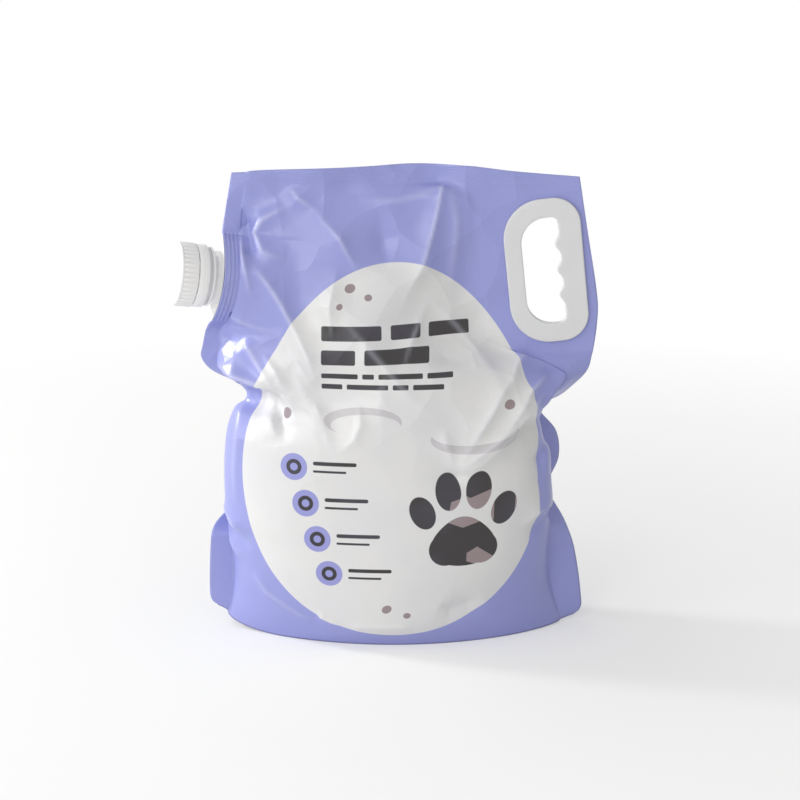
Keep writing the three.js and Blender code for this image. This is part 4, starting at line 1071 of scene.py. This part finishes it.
def thread(wall, outward, start_height, start_angle, turns=0.6, depth=1.3):
    """One rounded start of a screw thread, run out to nothing at both ends."""
    steps = 90
    loops = []
    for i in range(steps + 1):
        share = i / steps
        angle = start_angle + 2 * math.pi * turns * share
        rise = start_height + THREAD_LEAD * turns * share
        swell = min(1, share * 12, (1 - share) * 12) ** 0.5
        loop = []
        for out, up in ((-0.3, -1.0), (depth * swell * 0.85, -0.55), (depth * swell, -0.3),
                        (depth * swell, 0.3), (depth * swell * 0.85, 0.55), (-0.3, 1.0)):
            radius = wall + outward * out
            loop.append((radius * math.cos(angle), radius * math.sin(angle), rise + up))
        loops.append(loop)
    points, faces = rings(loops, closed=False)
    last = len(points)
    faces.append(tuple(range(6)))
    faces.append(tuple(range(last - 6, last)))
    return points, faces


def turned(profile):
    """A body of revolution about the axis, from a closed loop of (radius, height) points."""
    return rings([circle(radius, height) for radius, height in profile])


neck = turned([
    (NECK_BORE_RADIUS, -BOAT_DEPTH), (NECK_BORE_RADIUS + 0.5, -BOAT_DEPTH - 0.01),
    (NECK_BORE_RADIUS + 0.5, -0.6), (NECK_RADIUS, -0.6), (NECK_RADIUS, 5.4), (NECK_RADIUS + 0.6, 6),
    (FLANGE_RADIUS - 0.3, 6), (FLANGE_RADIUS, 6.3), (FLANGE_RADIUS, 7.7), (FLANGE_RADIUS - 0.3, 8),
    (NECK_RADIUS + 0.5, 8), (NECK_RADIUS, 8.5), (NECK_RADIUS, 15.6),
    (NECK_RADIUS + 1.1, 15.6), (NECK_RADIUS + 1.2, 15.9), (NECK_RADIUS, 17.2), (NECK_RADIUS, MOUTH - 0.8),
    (NECK_RADIUS - 0.25, MOUTH - 0.2), (NECK_RADIUS - 0.8, MOUTH), (NECK_BORE_RADIUS + 0.4, MOUTH),
    (NECK_BORE_RADIUS, MOUTH - 0.4),
])
spout = finished("spout_moulding", *joined(
    boat(), neck, *(thread(NECK_RADIUS, 1, 21.9, math.pi * k) for k in range(2))
), spout_frame)


def milky_plastic(name, tint, rough, grain):
    """Milky white polyolefin: faint cloudiness and a moulded grain."""
    made, nodes, surface = new_material(name)
    where = add_node(nodes, "ShaderNodeTexCoord").outputs["Object"]
    cloud = add_node(nodes, "ShaderNodeTexNoise", where, None, 60.0, 3.0, 0.5)
    darker = tuple(0.93 * c for c in tint)
    nodes.links.new(ink_between(nodes, darker + (1,), tint + (1,), cloud.outputs[0]),
                    surface.inputs["Base Color"])
    fine = add_node(nodes, "ShaderNodeTexNoise", where, None, grain, 3.0, 0.5)
    sheen = add_node(nodes, "ShaderNodeMapRange", fine.outputs[0], 0.3, 0.7, rough - 0.04, rough + 0.05)
    nodes.links.new(sheen.outputs[0], surface.inputs["Roughness"])
    add_relief(nodes, surface, fine.outputs[0], 0.15, 0.1)
    return made


spout_plastic = milky_plastic("spout_plastic", (0.86, 0.855, 0.86), 0.36, 2200.0)
spout.data.materials.append(spout_plastic)
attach(spout, "pack")
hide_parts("spout")


# Litter. What shows down the spout's bore when the cap is off: a round patch of grey-brown
# bentonite grains, a little uneven on top and closed by a shallow cone below.
LITTER_LEVEL = -14.6
grain_rng = np.random.default_rng(7)
litter_points = [(0.0, 0.0, LITTER_LEVEL + 1.0)]
LITTER_RINGS = 26
LITTER_STEPS = 96
for ring in range(1, LITTER_RINGS + 1):
    radius = (NECK_BORE_RADIUS - 0.2) * ring / LITTER_RINGS
    for step in range(LITTER_STEPS):
        angle = 2 * math.pi * (step + 0.5 * (ring % 2)) / LITTER_STEPS
        bump_height = float(grain_rng.uniform(0, 1.1)) if ring < LITTER_RINGS else 0.0
        level = LITTER_LEVEL + bump_height
        litter_points.append((radius * math.cos(angle), radius * math.sin(angle), level))
litter_points.append((0.0, 0.0, LITTER_LEVEL - 1.5))
litter_faces = []
for step in range(LITTER_STEPS):
    after = (step + 1) % LITTER_STEPS
    litter_faces.append((0, 1 + step, 1 + after))
    rim = 1 + (LITTER_RINGS - 1) * LITTER_STEPS
    litter_faces.append((len(litter_points) - 1, rim + after, rim + step))
    for ring in range(LITTER_RINGS - 1):
        low, high = 1 + ring * LITTER_STEPS, 1 + (ring + 1) * LITTER_STEPS
        litter_faces.append((low + step, high + step, high + after, low + after))
litter = finished("litter", litter_points, litter_faces, spout_frame, sharp=180)
grain_material, tree, shader = new_material("litter_grains")
where = add_node(tree, "ShaderNodeTexCoord").outputs["Object"]
cells = add_node(tree, "ShaderNodeTexVoronoi", where, None, 620.0)
cell_tone = add_node(tree, "ShaderNodeSeparateColor", cells.outputs["Color"])
tree.links.new(ink_between(tree, (0.20, 0.17, 0.14, 1), (0.50, 0.46, 0.40, 1), cell_tone.outputs[0]),
               shader.inputs["Base Color"])
add_relief(tree, shader, compute(tree, "SUBTRACT", 1.0, cells.outputs["Distance"]), 0.8, 0.6)
shader.inputs["Roughness"].default_value = 0.9
litter.data.materials.append(grain_material)
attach(litter, "pack")
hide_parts("pouch")


# Tamper band. The ring that stays on the neck when the cap is first opened, with a lip under the
# neck's bead and the stubs of the bridges that held it to the cap.
BAND_OUTER = 24.5
BAND_INNER = 22.8
BAND_LIP = 20.7
band_ring = turned([
    (BAND_LIP, 12.6), (BAND_LIP, 11.8), (BAND_INNER, 11.2), (BAND_OUTER - 0.4, 11.2),
    (BAND_OUTER - 0.1, 11.3), (BAND_OUTER, 11.6), (BAND_OUTER, 14.9), (BAND_OUTER - 0.25, 15.05),
    (BAND_OUTER - 0.25, 15.35), (BAND_OUTER, 15.5), (BAND_OUTER, 18.8), (BAND_OUTER - 0.1, 19.1),
    (BAND_OUTER - 0.4, 19.2), (BAND_INNER, 19.2), (BAND_INNER, 13.4),
])
BRIDGES = 12
BRIDGE_INNER = BAND_OUTER - 0.9
BRIDGE_OUTER = BAND_OUTER - 0.2
BRIDGE_HALF_ANGLE = 0.035
BLOCK_FACES = [(0, 1, 2, 3), (4, 7, 6, 5), (0, 4, 5, 1), (1, 5, 6, 2), (2, 6, 7, 3), (3, 7, 4, 0)]
bridges = []
for k in range(BRIDGES):
    turn = 2 * math.pi * k / BRIDGES
    block = []
    for height in (19.1, 19.5):
        for radius, side in ((BRIDGE_INNER, -1), (BRIDGE_OUTER, -1), (BRIDGE_OUTER, 1), (BRIDGE_INNER, 1)):
            angle = turn + side * BRIDGE_HALF_ANGLE
            block.append((radius * math.cos(angle), radius * math.sin(angle), height))
    bridges.append((block, BLOCK_FACES))
tamper_band = finished("band_moulding", *joined(band_ring, *bridges), spout_frame)
band_plastic = milky_plastic("band_plastic", (0.90, 0.895, 0.885), 0.42, 1800.0)
tamper_band.data.materials.append(band_plastic)
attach(tamper_band, "pack")
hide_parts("tamper_band")


# Screw cap. A white moulded cap with forty rounded grip ribs, a plain rim above them and its own
# two-start thread inside, half a pitch below the neck's.
CAP_RADIUS = 25
CAP_FOOT = 19.7
CAP_TOP = 33.9
CAP_CEILING = 32.2
CAP_BORE = 22.5
CAP_RIBS = 40
RIB_FOOT = CAP_FOOT + 0.5
RIB_TOP = CAP_TOP - 2.6
CAP_PHASE = 2 * math.pi * 1.6 / THREAD_LEAD
cap_shell = turned([
    (0.001, CAP_CEILING), (CAP_BORE - 0.5, CAP_CEILING), (CAP_BORE, CAP_CEILING - 0.5),
    (CAP_BORE, CAP_FOOT + 0.4), (CAP_BORE + 0.3, CAP_FOOT), (CAP_RADIUS - 0.8, CAP_FOOT),
    (CAP_RADIUS - 0.5, CAP_FOOT + 0.2),
    (CAP_RADIUS - 0.45, RIB_TOP), (CAP_RADIUS - 0.25, RIB_TOP + 0.3), (CAP_RADIUS - 0.2, CAP_TOP - 1.6),
    (CAP_RADIUS - 0.35, CAP_TOP - 0.9), (CAP_RADIUS - 0.75, CAP_TOP - 0.3), (CAP_RADIUS - 1.5, CAP_TOP),
    (CAP_RADIUS - 4, CAP_TOP), (CAP_RADIUS - 4.5, CAP_TOP - 0.35), (0.001, CAP_TOP - 0.35),
])
cap_threads = [thread(CAP_BORE, -1, 21.25, CAP_PHASE + math.pi * k) for k in range(2)]
cap_body = finished("cap_body", *joined(cap_shell, *cap_threads), Matrix.Scale(MM, 4))
cap_plastic = milky_plastic("cap_plastic", (0.90, 0.89, 0.875), 0.40, 1500.0)

# one rib, along the cap's axis, with a half-round section and tapered ends
RIB_HALF_WIDTH = 1.45
RIB_RISE = 0.75
RIB_SEAT = CAP_RADIUS - 0.75
RIB_ROOT = CAP_RADIUS - 1.2
RIB_STATIONS = ((RIB_FOOT - 0.2, 0.25), (RIB_FOOT + 0.3, 0.9), (RIB_FOOT + 0.9, 1.0),
                (RIB_TOP - 1.0, 1.0), (RIB_TOP - 0.4, 0.85), (RIB_TOP + 0.1, 0.2))
rib_loops = []
for height, swell in RIB_STATIONS:
    arc = []
    for k in range(9):
        lean = math.pi * (k / 8 - 0.5)
        radius = RIB_SEAT + RIB_RISE * swell * math.cos(lean)
        arc.append((radius, RIB_HALF_WIDTH * swell * math.sin(lean), height))
    root = RIB_HALF_WIDTH * 0.6 * swell
    rib_loops.append(arc + [(RIB_ROOT, root, height), (RIB_ROOT, -root, height)])
rib_points, rib_faces = rings(rib_loops, closed=False)
rib_faces += [tuple(range(11)), tuple(range(len(rib_points) - 11, len(rib_points)))]
rib = finished("cap_rib", rib_points, rib_faces, Matrix.Scale(MM, 4))

ribbing = bpy.data.node_groups.new("ribs_around", "GeometryNodeTree")
ribbing.interface.new_socket("Body", in_out="INPUT", socket_type="NodeSocketGeometry")
count_socket = ribbing.interface.new_socket("Count", in_out="INPUT", socket_type="NodeSocketInt")
rib_socket = ribbing.interface.new_socket("Rib", in_out="INPUT", socket_type="NodeSocketObject")
plastic_socket = ribbing.interface.new_socket("Plastic", in_out="INPUT", socket_type="NodeSocketMaterial")
ribbing.interface.new_socket("Ribbed", in_out="OUTPUT", socket_type="NodeSocketGeometry")
given = ribbing.nodes.new("NodeGroupInput").outputs
ribs_line = add_node(ribbing, "GeometryNodeMeshLine", None, None, None, (0, 0, 0), mode="OFFSET")
ribbing.links.new(given["Count"], ribs_line.inputs["Count"])
ribs_line.inputs["Offset"].default_value = (0, 0, 0)
order = add_node(ribbing, "GeometryNodeInputIndex")
per_rib = compute(ribbing, "DIVIDE", 2 * math.pi, given["Count"])
turn = compute(ribbing, "MULTIPLY", order.outputs[0], per_rib)
axis_turn = add_node(ribbing, "ShaderNodeCombineXYZ", None, None, turn)
rib_info = add_node(ribbing, "GeometryNodeObjectInfo")
ribbing.links.new(given["Rib"], rib_info.inputs["Object"])
placed = add_node(ribbing, "GeometryNodeInstanceOnPoints")
ribbing.links.new(ribs_line.outputs[0], placed.inputs["Points"])
ribbing.links.new(rib_info.outputs["Geometry"], placed.inputs["Instance"])
ribbing.links.new(axis_turn.outputs[0], placed.inputs["Rotation"])
real = add_node(ribbing, "GeometryNodeRealizeInstances", placed.outputs[0])
both = add_node(ribbing, "GeometryNodeJoinGeometry")
ribbing.links.new(real.outputs[0], both.inputs[0])
ribbing.links.new(given["Body"], both.inputs[0])
painted = add_node(ribbing, "GeometryNodeSetMaterial", both.outputs[0])
ribbing.links.new(given["Plastic"], painted.inputs["Material"])
ribbing.links.new(painted.outputs[0], ribbing.nodes.new("NodeGroupOutput").inputs["Ribbed"])
modifier = cap_body.modifiers.new("Ribs", "NODES")
modifier.node_group = ribbing
modifier[count_socket.identifier] = CAP_RIBS
modifier[rib_socket.identifier] = rib
modifier[plastic_socket.identifier] = cap_plastic
cap_mesh = bpy.data.meshes.new_from_object(cap_body.evaluated_get(bpy.context.evaluated_depsgraph_get()))
cap_mesh.transform(spout_frame @ Matrix.Scale(1 / MM, 4))
cap = bpy.data.objects.new("cap_moulding", cap_mesh)
scene.collection.objects.link(cap)
bpy.data.objects.remove(cap_body)
bpy.data.objects.remove(rib)
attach(cap, "screw_cap")
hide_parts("cap")


# Liner. A foamed polyethylene disc that the cap presses on the neck's mouth; it follows the cap's
# travel without turning.
LINER_RADIUS = 20.9
liner_disc = turned([
    (0.001, 30.8), (LINER_RADIUS - 0.2, 30.8), (LINER_RADIUS, 31.0), (LINER_RADIUS, 31.7),
    (LINER_RADIUS - 0.2, 31.9), (0.001, 31.9),
])
liner = finished("liner_disc", *liner_disc, spout_frame)
liner_material = milky_plastic("liner_foam", (0.80, 0.79, 0.76), 0.75, 700.0)
liner.data.materials.append(liner_material)
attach(liner, "wad")
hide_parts("cap_liner")


# Carry handle. Two grey polypropylene rings clamped through the sealed shoulder; the front one's
# collar passes through the film and snaps into the back one. Four finger scallops face the edge.
RING_HALF_WIDTH = 30.5
RING_HALF_HEIGHT = 56.75
RING_INNER_RADIUS = 31
RING_EDGE_RADIUS = 21
GRIP_LEFT = -17
GRIP_RIGHT = 13
GRIP_HALF_HEIGHT = 42
GRIP_CORNER = 20
GRIP_TOE = 6
FINGER_PITCH = 20
GRIP_CUSP = 3.7
handle_turn = Matrix(((math.cos(HANDLE_LEAN), -math.sin(HANDLE_LEAN), 0), (0, 0, -1),
                      (math.sin(HANDLE_LEAN), math.cos(HANDLE_LEAN), 0))).to_4x4()
handle_shift = Matrix.Translation(Vector((HANDLE_CENTRE[0], 0, HANDLE_CENTRE[1])) * MM)
handle_frame = handle_shift @ handle_turn @ Matrix.Scale(MM, 4)


def corner_arc(x, y, radius, start, steps=24):
    """A quarter of a circle, anticlockwise from its starting angle."""
    turns = [start + math.pi / 2 * k / steps for k in range(steps + 1)]
    return [(x + radius * math.cos(turn), y + radius * math.sin(turn)) for turn in turns]


def evenly(points, count):
    """A closed outline with the given count of points, evenly spaced along it."""
    around = np.array(points + points[:1])
    length = np.concatenate([[0], np.cumsum(np.linalg.norm(np.diff(around, axis=0), axis=1))])
    at = np.linspace(0, length[-1], count, endpoint=False)
    return np.stack([np.interp(at, length, around[:, 0]), np.interp(at, length, around[:, 1])], -1)


def shifted(outline, grow):
    """An anticlockwise outline moved outwards."""
    ahead = np.roll(outline, -1, axis=0) - np.roll(outline, 1, axis=0)
    normal = np.stack([ahead[:, 1], -ahead[:, 0]], -1)
    return outline + grow * normal / np.linalg.norm(normal, axis=1, keepdims=True)


OUTLINE_POINTS = 360
QUARTER = math.pi / 2


def rounded(left, right, half_height, left_radius, right_radius, edge=()):
    """A closed upright outline with rounded corners; edge holds the points of its right side."""
    near_x, near_y = right - right_radius, half_height - right_radius
    far_x, far_y = left + left_radius, half_height - left_radius
    points = [(5, -half_height)]
    points += corner_arc(near_x, -near_y, right_radius, -QUARTER) + list(edge)
    points += corner_arc(near_x, near_y, right_radius, 0)
    points += corner_arc(far_x, far_y, left_radius, QUARTER)
    points += corner_arc(far_x, -far_y, left_radius, 2 * QUARTER)
    return evenly(points, OUTLINE_POINTS)


ring_outline = rounded(-RING_HALF_WIDTH, RING_HALF_WIDTH, RING_HALF_HEIGHT, RING_INNER_RADIUS,
                       RING_EDGE_RADIUS)
# the cusps between the four fingers, on the grip's right side
scallops = []
for k in range(97):
    y = -36 + 72 * k / 96
    cusp = abs(math.cos(math.pi * (y + 40) / FINGER_PITCH)) ** 3 if abs(y) < 30 else 0
    scallops.append((GRIP_RIGHT - GRIP_CUSP * cusp, y))
grip_outline = rounded(GRIP_LEFT, GRIP_RIGHT, GRIP_HALF_HEIGHT, GRIP_CORNER, GRIP_TOE, scallops)
BEVEL = ((0, -1.1), (-0.08, -0.65), (-0.3, -0.3), (-0.65, -0.08), (-1.1, 0))
FLAT_INSET = 2.4
COLLAR_WALL = 2.2


def at_height(outline, height):
    """An outline as a loop of points at one height."""
    return [(x, y, height) for x, y in outline]


def handle_half(name, low, high, collar):
    """One ring between two heights, round-edged outside; collar adds the lip through the film."""
    loops = [at_height(ring_outline, low)]
    loops += [at_height(shifted(ring_outline, grow), high + drop) for grow, drop in BEVEL]
    loops += [at_height(shifted(ring_outline, -FLAT_INSET), high)]
    loops += [at_height(shifted(grip_outline, FLAT_INSET), high)]
    loops += [at_height(shifted(grip_outline, -grow), high + drop) for grow, drop in reversed(BEVEL)]
    if collar:
        loops += [at_height(grip_outline, -low), at_height(shifted(grip_outline, COLLAR_WALL), -low),
                  at_height(shifted(grip_outline, COLLAR_WALL + 0.1), low)]
    else:
        loops += [at_height(grip_outline, low)]
    return finished(name, *rings(loops), handle_frame, sharp=50)


FILM_FACE = 0.7
RING_THICKNESS = 3
handle_front = handle_half("handle_front_ring", FILM_FACE, FILM_FACE + RING_THICKNESS, True)
flip = Matrix.Diagonal((1, 1, -1, 1))
handle_back = handle_half("handle_back_ring", FILM_FACE + 0.3, FILM_FACE + 0.3 + RING_THICKNESS, False)
handle_back.data.transform(handle_frame @ flip @ handle_frame.inverted())
handle_back.data.flip_normals()
handle_material, tree, shader = new_material("handle_plastic")
where = add_node(tree, "ShaderNodeTexCoord").outputs["Object"]
broad = add_node(tree, "ShaderNodeTexNoise", where, None, 25.0, 3.0, 0.5)
tree.links.new(ink_between(tree, (0.685, 0.685, 0.69, 1), (0.725, 0.725, 0.73, 1), broad.outputs[0]),
               shader.inputs["Base Color"])
spark = add_node(tree, "ShaderNodeTexNoise", where, None, 2600.0, 3.0, 0.6)
tree.links.new(add_node(tree, "ShaderNodeMapRange", spark.outputs[0], 0.3, 0.7, 0.5, 0.62).outputs[0],
               shader.inputs["Roughness"])
add_relief(tree, shader, spark.outputs[0], 0.3, 0.08)
for half, node in ((handle_front, "handle_front"), (handle_back, "handle_back")):
    half.data.materials.append(handle_material)
    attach(half, "pack")
    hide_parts(node)


# Camera. In front, above the pouch's top and looking down by 15 degrees, as the photograph was
# taken, with the photograph's focal length in pixels.
CAMERA_PLACE = (0.0025, -1.3047, 0.540)
CAMERA_DOWN = math.radians(15)
FOCAL_PIXELS = 1690
SENSOR_WIDTH = 36
IMAGE_PIXELS = 800
camera_data = bpy.data.cameras.new("camera")
camera_data.lens = FOCAL_PIXELS * SENSOR_WIDTH / IMAGE_PIXELS
camera = bpy.data.objects.new("camera", camera_data)
camera.location = CAMERA_PLACE
camera.rotation_euler = (math.pi / 2 - CAMERA_DOWN, 0, 0)
scene.collection.objects.link(camera)
scene.camera = camera


# Studio. A white room: a pale floor that fades into the background, a key lamp on the left and a
# little behind, a softer lamp beside it as a window, and a broad soft lamp in front.
def area_light(name, place, size, power, aim=(0, 0, 0.18)):
    """A round lamp of a size in metres and a power in watts, turned to the pouch."""
    data = bpy.data.lights.new(name, "AREA")
    data.shape = "DISK"
    data.size = size
    data.energy = power
    lamp = bpy.data.objects.new(name, data)
    lamp.location = place
    lamp.rotation_euler = (Vector(aim) - Vector(place)).to_track_quat("-Z", "Y").to_euler()
    scene.collection.objects.link(lamp)


area_light("key", (-1.7, 0.4, 0.95), 0.26, 17)
area_light("window", (-1.5, -0.8, 0.75), 0.7, 5)
area_light("front", (-0.85, -1.7, 1.05), 0.9, 7)

FLOOR_HALF = 6.0
floor_mesh = bpy.data.meshes.new("floor")
floor_corners = [(-FLOOR_HALF, -FLOOR_HALF, 0), (FLOOR_HALF, -FLOOR_HALF, 0),
                 (FLOOR_HALF, FLOOR_HALF, 0), (-FLOOR_HALF, FLOOR_HALF, 0)]
floor_mesh.from_pydata(floor_corners, [], [(0, 1, 2, 3)])
floor = bpy.data.objects.new("floor", floor_mesh)
scene.collection.objects.link(floor)
floor_material, tree, floor_shader = new_material("floor")
floor_shader.inputs["Base Color"].default_value = (0.90, 0.90, 0.89, 1)
floor_shader.inputs["Roughness"].default_value = 0.9
floor_shader.inputs["Specular IOR Level"].default_value = 0.1
white = add_node(tree, "ShaderNodeEmission", (1, 1, 1, 1), 1.0)
spot = add_node(tree, "ShaderNodeTexCoord").outputs["Object"]
reach = add_node(tree, "ShaderNodeVectorMath", spot, operation="LENGTH").outputs["Value"]
fade = add_node(tree, "ShaderNodeMapRange", reach, 0.22, 1.1, 0.38, 1.0).outputs[0]
ray = add_node(tree, "ShaderNodeLightPath")
shown = compute(tree, "MAXIMUM", ray.outputs["Is Camera Ray"], ray.outputs["Is Glossy Ray"])
shown = compute(tree, "MULTIPLY", fade, compute(tree, "MAXIMUM", shown, ray.outputs["Is Transmission Ray"]))
mix = add_node(tree, "ShaderNodeMixShader", shown, floor_shader.outputs[0], white.outputs[0])
tree.links.new(mix.outputs[0], tree.nodes["Material Output"].inputs["Surface"])
floor_mesh.materials.append(floor_material)

world = bpy.data.worlds.new("studio")
scene.world = world
world.use_nodes = True
tree = world.node_tree
room = tree.nodes["Background"]
room.inputs["Color"].default_value = (1, 1, 1, 1)
# the room's light comes from the window side, on the left, to the front and above
WINDOW_DIRECTION = (-0.72, -0.42, 0.55)
direction = add_node(tree, "ShaderNodeTexCoord").outputs["Generated"]
window_side = add_node(tree, "ShaderNodeVectorMath", direction, WINDOW_DIRECTION, operation="DOT_PRODUCT")
room_light = add_node(tree, "ShaderNodeMapRange", window_side.outputs["Value"], -0.7, 0.9, 0.12, 0.84)
tree.links.new(room_light.outputs[0], room.inputs["Strength"])
backdrop = add_node(tree, "ShaderNodeBackground", (1, 1, 1, 1), 1.0)
ray = add_node(tree, "ShaderNodeLightPath")
shown = compute(tree, "MAXIMUM", ray.outputs["Is Camera Ray"], ray.outputs["Is Glossy Ray"])
shown = compute(tree, "MAXIMUM", shown, ray.outputs["Is Transmission Ray"])
mix = add_node(tree, "ShaderNodeMixShader", shown, room.outputs[0], backdrop.outputs[0])
tree.links.new(mix.outputs[0], tree.nodes["World Output"].inputs["Surface"])

scene.view_settings.view_transform = "Standard"
